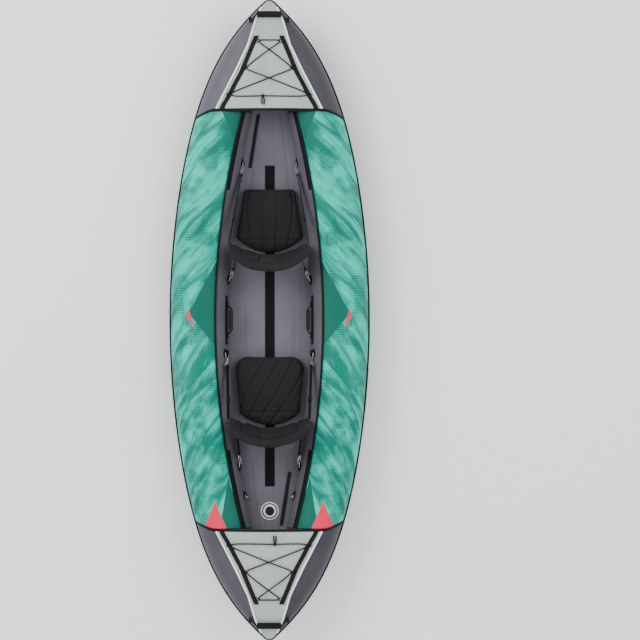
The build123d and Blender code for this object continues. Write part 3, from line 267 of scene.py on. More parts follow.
# plain weave: crossing threads, and a slow mottle of dust and handling
weave, weave_in, weave_out = new_group(
    "woven_threads",
    [("Place", "Vector"), ("Threads", "Float")],
    [("Height", "Float"), ("Mottle", "Float")],
)
spread = put(weave, "VectorMath", [weave_in.outputs["Place"]], operation="SCALE")
feed(weave, weave_in.outputs["Threads"], spread.inputs["Scale"])
split = put(weave, "SeparateXYZ", [spread])
warp = calc(weave, "SINE", split.outputs[0])
weft_place = calc(weave, "ADD", split.outputs[1], split.outputs[2])
weft = calc(weave, "SINE", weft_place)
crossing = calc(weave, "MULTIPLY", warp, weft)
feed(weave, crossing, weave_out.inputs["Height"])
clouds = put(weave, "TexNoise", [weave_in.outputs["Place"], None, 7.0, 5.0, 0.6])
feed(weave, clouds, weave_out.inputs["Mottle"])


def group_node(tree, group, **values):
    """Places a shared effect in a material with its own values."""
    made = tree.nodes.new("ShaderNodeGroup")
    made.node_tree = group
    for label, value in values.items():
        feed(tree, value, made.inputs[label])
    return made


def linear(red, green, blue):
    """Colour as the eye reads it on a screen, 0 to 255, in the renderer's light values."""
    values = [c / 255 for c in (red, green, blue)]
    return [c / 12.92 if c <= 0.04045 else ((c + 0.055) / 1.055) ** 2.4 for c in values] + [1]


def shade_of(colour, factor):
    return [min(1, c * factor) for c in colour[:3]] + [1]


def start_material(name, roughness, own_cut=False):
    """A new material: its tree, its Principled node and the place it reads."""
    paint = bpy.data.materials.new(name)
    paint.use_nodes = True
    tree = paint.node_tree
    surface = tree.nodes["Principled BSDF"]
    surface.inputs["Roughness"].default_value = roughness
    surface.inputs["Specular IOR Level"].default_value = 0.22
    where = put(tree, "TexCoord")
    return paint, tree, surface, where.outputs["UV" if own_cut else "Object"]


def add_bump(tree, surface, height, distance, strength):
    bump = put(tree, "Bump")
    bump.inputs["Strength"].default_value = strength
    bump.inputs["Distance"].default_value = distance
    feed(tree, height, bump.inputs["Height"])
    feed(tree, bump, surface.inputs["Normal"])


def blend_colours(tree, factor, first, second):
    mix = put(tree, "Mix", data_type="RGBA")
    for socket, value in ((mix.inputs[0], factor), (mix.inputs[6], first), (mix.inputs[7], second)):
        feed(tree, value, socket)
    return mix.outputs[2]


def vary_roughness(tree, surface, factor, low, high):
    feed(tree, put(tree, "MapRange", [factor, 0.3, 0.7, low, high]), surface.inputs["Roughness"])


def cloth_material(
    name, colour, roughness, threads=4200.0, depth=0.00012, contrast=0.16, own_cut=True, sheen=0.0
):
    """Woven cloth with threads, a mottle of two tones and crumpled light."""
    paint, tree, surface, where = start_material(name, roughness, own_cut)
    cloth = group_node(tree, weave, Place=where, Threads=threads)
    tone = put(tree, "MapRange", [cloth.outputs["Mottle"], 0.3, 0.7, 0.0, 1.0])
    dark, light = shade_of(colour, 1 - contrast), shade_of(colour, 1 + contrast)
    feed(tree, blend_colours(tree, tone, dark, light), surface.inputs["Base Color"])
    vary_roughness(tree, surface, cloth.outputs["Mottle"], roughness - 0.06, roughness + 0.06)
    surface.inputs["Sheen Weight"].default_value = sheen
    add_bump(tree, surface, cloth.outputs["Height"], depth, 0.6)
    return paint


tarpaulin_black = cloth_material("tarpaulin_black", linear(44, 44, 48), 0.55, 2600.0, 0.0001)
hull_skin.data.materials.append(tarpaulin_black)

# ------------------------------------------------------------------ side panels of the tubes
# Coated green cloth from the outer welded seam over the top of each inflated tube to the inner
# piping. It is printed with flowing streaks, a field of fine dots and darker triangles.
triangle, tri_in, tri_out = new_group(
    "triangle_print",
    [("Place", "Vector"), ("A", "Vector"), ("B", "Vector"), ("C", "Vector")],
    [("Inside", "Float")],
)
edges = []
for begin, end in (("A", "B"), ("B", "C"), ("C", "A")):
    run = put(triangle, "VectorMath", [tri_in.outputs[end], tri_in.outputs[begin]], operation="SUBTRACT")
    to_place = put(
        triangle, "VectorMath", [tri_in.outputs["Place"], tri_in.outputs[begin]], operation="SUBTRACT"
    )
    turn = put(triangle, "VectorMath", [run, to_place], operation="CROSS_PRODUCT")
    depth_in = put(triangle, "SeparateXYZ", [turn])
    edges.append(calc(triangle, "GREATER_THAN", depth_in.outputs[2], 0.0))
two = calc(triangle, "MULTIPLY", edges[0], edges[1])
three = calc(triangle, "MULTIPLY", two, edges[2])
feed(triangle, three, tri_out.inputs["Inside"])

SIDES = ((1, "starboard"), (-1, "port"))
PANEL_CLOTH = 0.0015
PANEL_END = DECK_START - SEAT_GAP
OUTER_SEAM_TURN = 0.0035
SEWN_MARGIN = 0.004
CLOTH_SINK = 0.0003
EDGE_TURN_FROM = 0.27
EDGE_TURN_RUN = 0.13
EDGE_TURN_BACK = 0.042
DOTS_PER_METRE = 118.0
STITCH_ROWS = (0.0075, 0.0105)
STITCHES_PER_METRE = 200.0
GREEN_DEEP = (0.0, 0.112, 0.078, 1)
GREEN_MID = (0.0, 0.175, 0.123, 1)
GREEN_BRIGHT = (0.0, 0.290, 0.205, 1)
GREEN_LIGHT = (0.0, 0.560, 0.410, 1)
PINK = (0.78, 0.022, 0.070, 1)
# corners of the printed triangles, half width and station, counter-clockwise
DARK_TRIANGLES = [
    ((0.240, -0.165), (0.402, 0.035), (0.240, 0.335)),
    ((0.180, 0.905), (0.240, 1.055), (0.135, 1.055)),
    ((0.120, -1.050), (0.245, -1.050), (0.205, -0.790)),
]
PINK_TRIANGLES = [
    ((0.370, -0.045), (0.414, 0.018), (0.402, 0.058)),
    ((0.205, -1.050), (0.330, -1.050), (0.270, -0.905)),
]


def printed_green(name):
    """Coated cloth with a print of streaks, dots, triangles and a double row of stitches."""
    paint, tree, surface, where = start_material(name, 0.42, own_cut=True)
    plan = put(tree, "TexCoord").outputs["Object"]
    halves = put(tree, "VectorMath", [plan], operation="ABSOLUTE")
    plan_parts = put(tree, "SeparateXYZ", [plan])
    half_parts = put(tree, "SeparateXYZ", [halves])
    place = put(tree, "CombineXYZ", [half_parts.outputs[0], plan_parts.outputs[1], 0.0])
    sweep = put(tree, "Mapping", [where, (0, 0, 0), (0, 0, math.radians(-40)), (1, 1, 1)])
    drawn = put(tree, "Mapping", [sweep, (0, 0, 0), (0, 0, 0), (9.0, 1.7, 1.0)])
    flow = put(tree, "TexNoise", [drawn, None, 2.0, 4.0, 0.6, None, None, None, 0.7])
    tones = put(tree, "ValToRGB", [flow])
    ramp = tones.color_ramp
    ramp.elements[0].position = 0.42
    ramp.elements[0].color = GREEN_MID
    ramp.elements[1].position = 0.60
    ramp.elements[1].color = GREEN_LIGHT
    middle = ramp.elements.new(0.48)
    middle.color = GREEN_BRIGHT
    # dots on a square lattice, their size set by a broad noise of its own
    lattice = put(tree, "VectorMath", [where, (DOTS_PER_METRE, DOTS_PER_METRE, 1.0)], operation="MULTIPLY")
    cell = put(tree, "VectorMath", [lattice], operation="FRACTION")
    flat_cell = put(tree, "VectorMath", [cell, (1.0, 1.0, 0.0)], operation="MULTIPLY")
    from_middle = put(tree, "VectorMath", [flat_cell, (0.5, 0.5, 0.0)], operation="DISTANCE")
    fields = put(tree, "TexNoise", [sweep, None, 6.0, 2.0, 0.5])
    dot_size = put(tree, "MapRange", [fields, 0.44, 0.58, 0.0, 0.44])
    dotted = calc(tree, "LESS_THAN", from_middle.outputs["Value"], dot_size)
    dot_share = calc(tree, "MULTIPLY", dotted, 0.95)
    colour = blend_colours(tree, dot_share, tones, GREEN_DEEP)
    for printed, ink in ((DARK_TRIANGLES, GREEN_DEEP), (PINK_TRIANGLES, PINK)):
        for corners in printed:
            a, b, c = [(x, y, 0) for x, y in corners]
            inside = group_node(tree, triangle, Place=place, A=a, B=b, C=c)
            colour = blend_colours(tree, inside, colour, ink)
    cloth = group_node(tree, weave, Place=where, Threads=4200.0)
    worn = put(tree, "MapRange", [cloth.outputs["Mottle"], 0.3, 0.75, 0.0, 0.012])
    colour = blend_colours(tree, worn, colour, linear(200, 235, 225))
    # a double row of stitches beside the inner piping
    cut = put(tree, "SeparateXYZ", [where])
    tape = calc(tree, "LESS_THAN", cut.outputs[0], 0.005)
    colour = blend_colours(tree, tape, colour, linear(20, 20, 22))
    for row in STITCH_ROWS:
        off = calc(tree, "SUBTRACT", cut.outputs[0], row)
        off_row = calc(tree, "ABSOLUTE", off)
        on_row = calc(tree, "LESS_THAN", off_row, 0.0006)
        count = calc(tree, "MULTIPLY", cut.outputs[1], STITCHES_PER_METRE)
        part = calc(tree, "FRACT", count)
        thread = calc(tree, "LESS_THAN", part, 0.66)
        stitch = calc(tree, "MULTIPLY", on_row, thread)
        colour = blend_colours(tree, stitch, colour, linear(20, 60, 55))
    feed(tree, colour, surface.inputs["Base Color"])
    vary_roughness(tree, surface, cloth.outputs["Mottle"], 0.40, 0.54)
    surface.inputs["Specular IOR Level"].default_value = 0.14
    add_bump(tree, surface, cloth.outputs["Height"], 0.0001, 0.5)
    return paint


def edge_turn(x):
    """The deck's edge turns back amidships as it goes down the tube's outside."""
    share = min(1.0, max(0.0, (abs(x) - EDGE_TURN_FROM) / EDGE_TURN_RUN))
    return -EDGE_TURN_BACK * share * share * (3 - 2 * share)


def side_point(side):
    """Places a side panel's cloth from its inner seam over the tube to the outer seam."""
    def place(across, along):
        share = across if side > 0 else 1 - across
        end_turn = seam_angle(PANEL_END) * (1 - share) + OUTER_SEAM_TURN * share
        end_x = tube_x(PANEL_END) + panel_radius(PANEL_END) * math.cos(end_turn)
        y = (along * 2 - 1) * (PANEL_END + edge_turn(end_x))
        turn = seam_angle(y) * (1 - share) + OUTER_SEAM_TURN * share
        arc = panel_radius(y) * (seam_angle(y) - turn)
        left = panel_radius(y) * turn
        edge = min(arc, PANEL_END - abs(y) + SEWN_MARGIN)
        lift = ripple(y, edge, 2 + side) + 0.7 * ripple(y, left, 5 + side, 0.001)
        lift = max(-CLOTH_SINK, lift)
        reach = panel_radius(y) + lift
        x = side * (tube_x(y) + reach * math.cos(turn))
        return Vector((x, y, tube_z(y) + reach * math.sin(turn))), (arc, y)
    return place


print_green = printed_green("printed_green_cloth")
for side, hand in SIDES:
    panel = grid_cloth(f"{hand}_green_cloth", 380, 54, side_point(side))
    give_thickness(panel, PANEL_CLOTH)
    panel.data.materials.append(print_green)
    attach(panel, "hull")
    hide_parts(f"{hand}_side_panel")

# ------------------------------------------------------------------ inner panels of the tubes
# Plain grey coated cloth from the inner piping down to the inflated floor, drawn over the same
# tube. It puckers at the piping and where it tucks behind the floor.
INNER_END = math.radians(216)


def inner_point(side):
    """Places an inner panel's cloth from the seam down behind the floor."""
    def place(across, along):
        y = (along * 2 - 1) * PANEL_END
        share = across if side < 0 else 1 - across
        turn = seam_angle(y) + 0.004 + (INNER_END - seam_angle(y)) * share
        arc = panel_radius(y) * (turn - seam_angle(y))
        left = panel_radius(y) * (INNER_END - turn)
        edge = min(arc, PANEL_END - abs(y) + SEWN_MARGIN)
        lift = max(-CLOTH_SINK, ripple(y, edge, 12 + side) + 0.6 * ripple(y, left, 15 + side))
        lift = min(lift, 0.0004 + 0.3 * arc)
        reach = panel_radius(y) + lift * 0.45
        x = side * (tube_x(y) + reach * math.cos(turn))
        return Vector((x, y, tube_z(y) + reach * math.sin(turn))), (arc, y)
    return place


inner_grey = cloth_material("inner_grey_cloth", linear(84, 82, 90), 0.55, contrast=0.14, sheen=0.02)
for side, hand in SIDES:
    inner = grid_cloth(f"{hand}_inner_cloth", 380, 32, inner_point(side))
    give_thickness(inner, PANEL_CLOTH)
    inner.data.materials.append(inner_grey)
    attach(inner, "hull")
    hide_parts(f"{hand}_inner_panel")

# ------------------------------------------------------------------ inflated floor
# The floor chamber has welded webs inside, which pull its grey cloth cover down in long shallow
# channels. The cover is glued round its edge and lies between the tubes.
FLOOR_END = 1.150
WEB_SHARES = (-0.6, -0.2, 0.2, 0.6)
CHANNEL_DEPTH = 0.0019
CHANNEL_WIDTH = 0.009
FLOOR_CLEARANCE = 0.0006


def floor_half(y):
    """Half the floor's width at a station, up to the tubes' inner panels."""
    z = floor_z(y)
    reach = panel_radius(y) + SEAT_GAP
    return tube_x(y) - math.sqrt(reach ** 2 - (tube_z(y) - z) ** 2)


def floor_point(across, along):
    """Places the floor's cover, drawn down along each web."""
    y = (along * 2 - 1) * FLOOR_END
    share = across * 2 - 1
    half = floor_half(y) - FLOOR_CLEARANCE
    x = share * half
    dip = 0.0
    for web in WEB_SHARES:
        dip += CHANNEL_DEPTH * math.exp(-((x - web * half) / CHANNEL_WIDTH) ** 2)
    puckers = 0.0003 * noise.noise(Vector((x * 30, y * 26, 21))) - 0.0003
    return Vector((x, y, floor_z(y) - dip + puckers)), (x, y)


floor_cloth = grid_cloth("floor_cloth", 300, 96, floor_point)
give_thickness(floor_cloth, 0.0004)
floor_grey = cloth_material("floor_grey_cloth", linear(100, 96, 106), 0.6, 3600.0, contrast=0.1)
floor_cloth.data.materials.append(floor_grey)
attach(floor_cloth, "hull")
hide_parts("floor_cover")

# ------------------------------------------------------------------ decks
# Each end has a cloth deck over both tubes: sage between the two white pipings and grey outside
# them. It is drawn tight by the tubes and puckers beside the pipings and at its bound edge.
# the white piping's line: station and half width
DECK_PIPING_LINE = ((1.040, 0.270), (1.242, 0.165), (1.370, 0.104), (1.498, 0.067), (1.593, 0.024))
CROWN_SHARE = 0.13
DECK_CLOTH = 0.0012
DECK_SINK = 0.0008
DECK_PUCKER = 0.0009


def piping_half(y):
    for (y0, x0), (y1, x1) in zip(DECK_PIPING_LINE, DECK_PIPING_LINE[1:]):
        if y <= y1 or y1 == DECK_PIPING_LINE[-1][0]:
            return x0 + (x1 - x0) * (y - y0) / (y1 - y0)


def deck_crown(y):
    """How high the deck's middle stands over the tubes, and the radius of its curve."""
    half = tube_x(y)
    crown = CROWN_SHARE * half
    return crown, (half ** 2 + crown ** 2) / (2 * crown)


def deck_point(end, reach_in=None, height=0.0):
    """Places cloth on a deck, or with reach_in a strip that far in from the deck's edge."""
    def place(across, along):
        edge_half = tube_x(DECK_START)
        edge_radius = panel_radius(DECK_START)
        down = abs(across * 2 - 1) * (edge_half + edge_radius * math.pi / 2) - edge_half
        edge_x = edge_half + edge_radius * math.sin(down / edge_radius) if down > 0 else 0.0
        start = DECK_START + SEAT_GAP + edge_turn(edge_x)
        finish = NOSE_END if reach_in is None else start + reach_in
        share = along if end > 0 else 1 - along
        y = start + share * (finish - start)
        half = tube_x(y)
        radius = panel_radius(y)
        crown, bend = deck_crown(y)
        lay = across * 2 - 1
        side = math.copysign(1, lay)
        flat_share = half / (half + radius * math.pi / 2)
        reach = abs(lay) * (half + radius * math.pi / 2)
        if abs(lay) <= flat_share:
            x = abs(lay) / flat_share * half
            z = tube_z(y) + radius + crown - bend + math.sqrt(bend ** 2 - x ** 2)
            up = Vector((0, 0, 1))
        else:
            turn = (reach - half) / radius
            x = half + radius * math.sin(turn)
            z = tube_z(y) + radius * math.cos(turn)
            up = Vector((side * math.sin(turn), 0, math.cos(turn)))
        beside = abs(x - piping_half(y))
        lift = ripple(y, beside, 31 + end, 0.0011) + ripple(x * side, y - DECK_START, 34 + end, 0.0010)
        lift = max(-DECK_SINK, min(DECK_PUCKER, lift)) if reach_in is None else height
        point = Vector((side * x, end * y, z)) + up * lift
        return point, (side * reach, end * y)
    return place


def deck_material(name, sage, port_grey_painted_lit, starboard_grey_painted_shade):
    """Deck cloth, sage between the white pipings and grey outside them, the port grey painted lighter and
    the starboard grey painted darker as painted light and shade.
    """
    paint, tree, surface, where = start_material(name, 0.5, own_cut=True)
    cloth = group_node(tree, weave, Place=where, Threads=3800.0)
    tone = put(tree, "MapRange", [cloth.outputs["Mottle"], 0.3, 0.7, 0.0, 1.0])
    field = put(tree, "Attribute", attribute_name="inside_piping")
    inside = calc(tree, "GREATER_THAN", field.outputs["Fac"], 0.0)
    starboard = put(tree, "SeparateXYZ", [where])
    right = calc(tree, "GREATER_THAN", starboard.outputs[0], 0.0)
    sage_tone = blend_colours(tree, tone, shade_of(sage, 0.90), shade_of(sage, 1.08))
    # the grey outside the pipings is painted lighter on the port side and darker on starboard: painted
    # light and shade
    port_tone_painted_lit, starboard_tone_painted_shade = [
        blend_colours(tree, tone, shade_of(grey, 0.85), shade_of(grey, 1.15))
        for grey in (port_grey_painted_lit, starboard_grey_painted_shade)
    ]
    sides = blend_colours(tree, right, port_tone_painted_lit, starboard_tone_painted_shade)
    feed(tree, blend_colours(tree, inside, sides, sage_tone), surface.inputs["Base Color"])
    vary_roughness(tree, surface, cloth.outputs["Mottle"], 0.45, 0.58)
    add_bump(tree, surface, cloth.outputs["Height"], 0.0001, 0.5)
    return paint


# which way each deck points, its sage and its port and starboard greys, the port grey painted lighter and
# the starboard grey darker as painted light and shade
DECK_TONES = {
    "bow": (1, linear(163, 174, 168), linear(88, 86, 94), linear(62, 61, 68)),
    "stern": (-1, linear(165, 172, 168), linear(72, 70, 78), linear(60, 59, 66)),
}
deck_lining = cloth_material("deck_lining", linear(52, 51, 56), 0.7, 3000.0)
for place_name, (end, sage, port_grey_painted_lit, starboard_grey_painted_shade) in DECK_TONES.items():
    deck = grid_cloth(f"{place_name}_deck_cloth", 96, 120, deck_point(end))
    field = deck.data.attributes.new("inside_piping", "FLOAT", "POINT")
    for corner in deck.data.vertices:
        field.data[corner.index].value = piping_half(abs(corner.co.y)) - abs(corner.co.x)
    deck.data.materials.append(deck_material(f"{place_name}_deck_cloth", sage, port_grey_painted_lit, starboard_grey_painted_shade))
    give_thickness(deck, DECK_CLOTH, deck_lining)
    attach(deck, "hull")
    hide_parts(f"{place_name}_deck")

# ------------------------------------------------------------------ pipings, bands and bindings
# Black cord pipings are sewn in the outer and inner seams, white ones on the decks. Wide black
# webbing covers the inner seam towards each end and binds the decks' edges.
ENDS = (("bow", 1), ("stern", -1))
PIPING_RADIUS = 0.0045
PIPING_SET = 0.0035
PIPING_STEP = 0.02
NOSE_BULGE = LENGTH / 2 - PIPING_RADIUS - NOSE_END
BINDING_WIDTH = 0.0125
BINDING_LIFT = 0.0026
BINDING_CLOTH = 0.0022


def dress(node, paint):
    """A CAD piece keeps its shape and takes a finish."""
    mesh = nodes[node].data
    mesh.materials.clear()
    mesh.materials.append(paint)


def piping_material(name, colour, roughness):
    """Smooth extruded piping with faint length marks and handling marks."""
    paint, tree, surface, where = start_material(name, roughness)
    marks = put(tree, "TexNoise", [where, None, 60.0, 4.0, 0.6])
    tone = blend_colours(tree, marks, shade_of(colour, 0.86), shade_of(colour, 1.1))
    feed(tree, tone, surface.inputs["Base Color"])
    vary_roughness(tree, surface, marks, roughness - 0.08, roughness + 0.1)
    add_bump(tree, surface, marks, 0.0002, 0.3)
    return paint


def webbing_material(name, colour, roughness=0.7, ribs=2200.0, bars=0.0):
    """Ribbed polyester webbing: close ribs across and a fine weave, slightly dusty on top."""
    paint, tree, surface, where = start_material(name, roughness)
    parts = put(tree, "SeparateXYZ", [where])
    diagonal = calc(tree, "ADD", parts.outputs[0], parts.outputs[1])
    upright = calc(tree, "ADD", diagonal, parts.outputs[2])
    waves = calc(tree, "MULTIPLY", upright, ribs)
    rib = calc(tree, "SINE", waves)
    counter = calc(tree, "SUBTRACT", parts.outputs[0], parts.outputs[1])
    cross = calc(tree, "MULTIPLY", counter, ribs)
    cross_rib = calc(tree, "SINE", cross)
    both = calc(tree, "MULTIPLY", rib, cross_rib)
    dust = put(tree, "TexNoise", [where, None, 22.0, 4.0, 0.65])
    lit = put(tree, "MapRange", [dust, 0.35, 0.75, 0.0, 1.0])
    tone = blend_colours(tree, lit, shade_of(colour, 0.8), shade_of(colour, 1.7))
    height = both
    if bars:
        # bar tacks hold the webbing down between its loops
        step = calc(tree, "MULTIPLY", parts.outputs[1], bars)
        share = calc(tree, "FRACT", step)
        tack = calc(tree, "LESS_THAN", share, 0.13)
        tone = blend_colours(tree, tack, tone, shade_of(colour, 4.0))
        sunk = calc(tree, "MULTIPLY", tack, -2.0)
        height = calc(tree, "ADD", height, sunk)
    feed(tree, tone, surface.inputs["Base Color"])
    add_bump(tree, surface, height, 0.0003, 0.7)
    return paint


def sewn_cord(name, points, radius, paint, node):
    """A round piping along its seam, with smooth closed ends."""
    line = bpy.data.curves.new(name, "CURVE")
    line.dimensions = "3D"
    line.bevel_depth = radius
    line.bevel_resolution = 3
    line.use_fill_caps = True
    run = line.splines.new("POLY")
    run.points.add(len(points) - 1)
    for place, point in zip(run.points, points):
        place.co = (point[0], point[1], point[2], 1)
    made = bpy.data.objects.new(name, line)
    bpy.context.scene.collection.objects.link(made)
    pick(made)
    bpy.ops.object.convert(target="MESH")
    made = bpy.context.object
    bpy.ops.object.shade_smooth()
    made.data.materials.append(paint)
    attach(made, "hull")
    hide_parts(node)


def span(first, last, step):
    """Even places from first to last, about a step apart."""
    count = max(2, round(abs(last - first) / step))
    return [first + (last - first) * i / count for i in range(count + 1)]


def half_width(y):
    """Half the boat's width at a station, over its skins and pipings."""
    return skin_half_width(y) + PIPING + HULL_SKIN + LAYER_GAP + SEAT_GAP


black_piping = piping_material("black_piping", linear(5, 5, 6), 0.5)
white_piping = piping_material("white_piping", linear(246, 247, 246), 0.4)
for side, hand in SIDES:
    rim = [
        (side * (half_width(y) - PIPING_RADIUS), y, tube_z(y))
        for y in span(-NOSE_END, NOSE_END, PIPING_STEP)
    ]
    sewn_cord(f"{hand}_outer_cord", rim, PIPING_RADIUS, black_piping, "outer_piping")
    seam = []
    for y in span(-PANEL_END, PANEL_END, PIPING_STEP):
        reach = panel_radius(y) + SEAT_GAP + PIPING_SET
        turn = seam_angle(y)
        seam.append((side * (tube_x(y) + reach * math.cos(turn)), y, tube_z(y) + reach * math.sin(turn)))
    sewn_cord(f"{hand}_inner_cord", seam, PIPING_RADIUS, black_piping, "inner_piping")
# the outer piping goes on round each tip
for place_name, end in ENDS:
    reach = half_width(NOSE_END) - PIPING_RADIUS
    nose = [
        (reach * across, end * (NOSE_END + NOSE_BULGE * (1 - across ** 4)), tube_z(NOSE_END))
        for across in span(-1, 1, 0.1)
    ]
    sewn_cord(f"{place_name}_nose_cord", nose, PIPING_RADIUS, black_piping, "outer_piping")
black_webbing = webbing_material("black_webbing", linear(9, 9, 10))
for place_name, end in ENDS:
    binding = grid_cloth(
        f"{place_name}_edge_binding", 3, 140, deck_point(end, BINDING_WIDTH, BINDING_LIFT)
    )
    give_thickness(binding, BINDING_CLOTH)
    binding.data.materials.append(black_webbing)
    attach(binding, "hull")
    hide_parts(f"{place_name}_deck_binding")
for name in (
    "seam_bands", "grab_anchors", "carry_patches", "ring_patches",
    "bow_grab_handle", "stern_grab_handle", "port_carry_handle", "starboard_carry_handle",
):
    dress(name, black_webbing)
dress("deck_webbing", webbing_material("daisy_chain_webbing", linear(9, 9, 10), bars=33.0))
dress("floor_strip", webbing_material("hook_and_loop_strip", linear(7, 6, 8), 0.85, 1400.0))

# ------------------------------------------------------------------ bladders inside the skins
# Satin film chambers with welded webs, seen only when the skins are opened.
film = piping_material("bladder_film", linear(58, 57, 63), 0.5)
for name in ("port_bladder", "starboard_bladder", "floor_bladder", "floor_webs"):
    dress(name, film)

# ------------------------------------------------------------------ seat pads
# Foam sewn into black polyester, held to the floor's strip. Each has sewn creases on top and a
# bound edge, and swells between them.
FOAM_GRAIN = 0.006
AIR_PRESSURE = 4
PUFF_FRAMES = 20


def merged_copy(node, name, near):
    """A CAD piece's shape as a new piece, with its loose triangles merged."""
    copy = bpy.data.objects.new(name, nodes[node].data.copy())
    bpy.context.scene.collection.objects.link(copy)
    copy.data.materials.clear()
    pick(copy)
    bpy.ops.object.mode_set(mode="EDIT")
    bpy.ops.mesh.select_all(action="SELECT")
    bpy.ops.mesh.remove_doubles(threshold=near)
    bpy.ops.object.mode_set(mode="OBJECT")
    return copy


def soft_form(name, node, cap):
    """Puffs a copy of a node's foam under air pressure, and keeps it close to its start."""
    form = merged_copy(node, name, 0.0001)
    grain = form.modifiers.new("remesh", "REMESH")
    grain.mode = "VOXEL"
    grain.voxel_size = FOAM_GRAIN
    bpy.ops.object.modifier_apply(modifier=grain.name)
    start = [v.co.copy() for v in form.data.vertices]
    soft = form.modifiers.new("soft", "CLOTH")
    soft.settings.use_pressure = True
    soft.settings.uniform_pressure_force = AIR_PRESSURE
    soft.settings.effector_weights.gravity = 0
    soft.point_cache.frame_start = 1
    soft.point_cache.frame_end = PUFF_FRAMES
    for frame_number in range(1, PUFF_FRAMES + 1):
        bpy.context.scene.frame_set(frame_number)
    puffed = form.evaluated_get(bpy.context.evaluated_depsgraph_get()).data
    moved = [v.co.copy() for v in puffed.vertices]
    bpy.context.scene.frame_set(1)
    form.modifiers.remove(soft)
    for corner, home, there in zip(form.data.vertices, start, moved):
        step = there - home
        if step.length > cap:
            step = step * (cap / step.length)
        corner.co = home + step
    finer = form.modifiers.new("finer", "SUBSURF")
    finer.levels = 1
    finer.render_levels = 1
    bpy.ops.object.modifier_apply(modifier=finer.name)
    bpy.ops.object.shade_smooth()
    return form


def groove(distance, width):
    """How deep a sewn groove is at a distance from its line, from 0 to 1."""
    return math.exp(-(distance / width) ** 2)


seat_black = cloth_material(
    "seat_black_cloth", linear(24, 22, 24), 0.72, 3200.0, 0.00018, 0.25, own_cut=False, sheen=0.03
)
CREASE_LINES = (-0.105, -0.035, 0.035, 0.105)
CREASE_DEPTH = 0.006
CREASE_WIDTH = 0.008
CROSS_CREASE_DEPTH = 0.003
CROSS_CREASE_WIDTH = 0.006
PAD_SWELL = 0.006
PAD_WAVE = 0.0022
SEATS = {
    "bow": {"front": 0.668, "rear": 0.330, "slant": 0.0},
    "stern": {"front": -0.177, "rear": -0.540, "slant": 0.55},
}
for place_name, seat in SEATS.items():
    pad = soft_form(f"{place_name}_pad", f"{place_name}_seat_foam", 0.009)
    low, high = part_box(f"{place_name}_seat_pad")
    middle_z = (low.z + high.z) / 2
    for corner in pad.data.vertices:
        x, y, z = corner.co
        top = max(0.0, (z - middle_z) / (high.z - middle_z))
        if top <= 0:
            corner.co.z = max(z, low.z)
            continue
        crease = 0.0
        for line in CREASE_LINES:
            slanted = seat["slant"] * (y - (seat["front"] + seat["rear"]) / 2)
            off = x - line * (1 + 0.12 * math.sin(y * 14)) - slanted
            crease += groove(off, CREASE_WIDTH)
        across = groove(y - (seat["front"] - 0.045), CROSS_CREASE_WIDTH)
        across += groove(y - (seat["rear"] + 0.075), CROSS_CREASE_WIDTH)
        soft_waves = PAD_WAVE * noise.noise(Vector((x * 17, y * 12, 41)))
        reach = min(1.0, top * 1.2)
        drop = CREASE_DEPTH * min(1, crease) + CROSS_CREASE_DEPTH * min(1, across) - soft_waves
        corner.co.z = min(high.z + PAD_SWELL, z - reach * drop)
    pad.data.materials.append(seat_black)
    pad.data.update()
    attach(pad, "hull")
    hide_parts(f"{place_name}_seat_pad", f"{place_name}_seat_foam")

# ------------------------------------------------------------------ backrests
# Curved foam backs in the same cloth, sewn to the pad's rear edge. Their top rim is bound, and
# rows of stitching part the foam into upright fields.
LEAN = math.radians(12)
BACK_RADIUS = 0.236
BACK_HALF = 0.019
STITCH_TURNS = (-0.62, -0.21, 0.21, 0.62)
DENT_DEPTH = 0.0055
DENT_WIDTH = 0.007
DENT_TOP = 0.262
WELT_HEIGHT = 0.248
WELT_DEPTH = 0.003
WELT_WIDTH = 0.005
BACK_WAVE = 0.0016
for place_name, seat in SEATS.items():
    back = soft_form(f"{place_name}_back", f"{place_name}_backrest_foam", 0.007)
    low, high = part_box(f"{place_name}_backrest")
    seam = Vector((0, seat["rear"], low.z))
    up = Vector((0, -math.sin(LEAN), math.cos(LEAN)))
    ahead = Vector((0, math.cos(LEAN), math.sin(LEAN)))
    for corner in back.data.vertices:
        from_seam = corner.co - seam
        rise = from_seam.dot(up)
        forward = from_seam.dot(ahead)
        out = Vector((corner.co.x, forward - BACK_RADIUS, 0))
        reach = out.length
        turn = math.atan2(out.x, -out.y)
        middle = BACK_RADIUS + BACK_HALF
        face = (reach - middle) / BACK_HALF
        dent = 0.0
        for row in STITCH_TURNS:
            dent += groove((turn - row) * BACK_RADIUS, DENT_WIDTH)
        dent = min(1, dent) * min(1, max(0, (DENT_TOP - rise) / 0.02))
        welt = groove(rise - WELT_HEIGHT, WELT_WIDTH)
        bulge = BACK_WAVE * noise.noise(Vector((turn * 4, rise * 15, 47)))
        inwards = -math.copysign(1, face) * min(1, abs(face))
        shift = inwards * (DENT_DEPTH * dent + WELT_DEPTH * welt) + bulge
        direction = Vector((math.sin(turn), 0, 0)) - ahead * math.cos(turn)
        corner.co += direction * shift
    back.data.materials.append(seat_black)
    back.data.update()
    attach(back, f"{place_name}_back")
    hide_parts(f"{place_name}_backrest", f"{place_name}_backrest_foam")

# ------------------------------------------------------------------ seat straps and buckles
# Four webbing straps brace each backrest, two forward and two aft, each from a snap hook on a
# tube. The front ones run through ladder buckles.
strap_cloth = webbing_material("seat_strap_webbing", linear(10, 10, 11))
buckle_plastic = piping_material("buckle_plastic", linear(26, 26, 28), 0.4)
# how far ahead of the seat's rear edge the straps and buckles are split into front and rear pieces
SEAM_CLEARANCE = 0.03


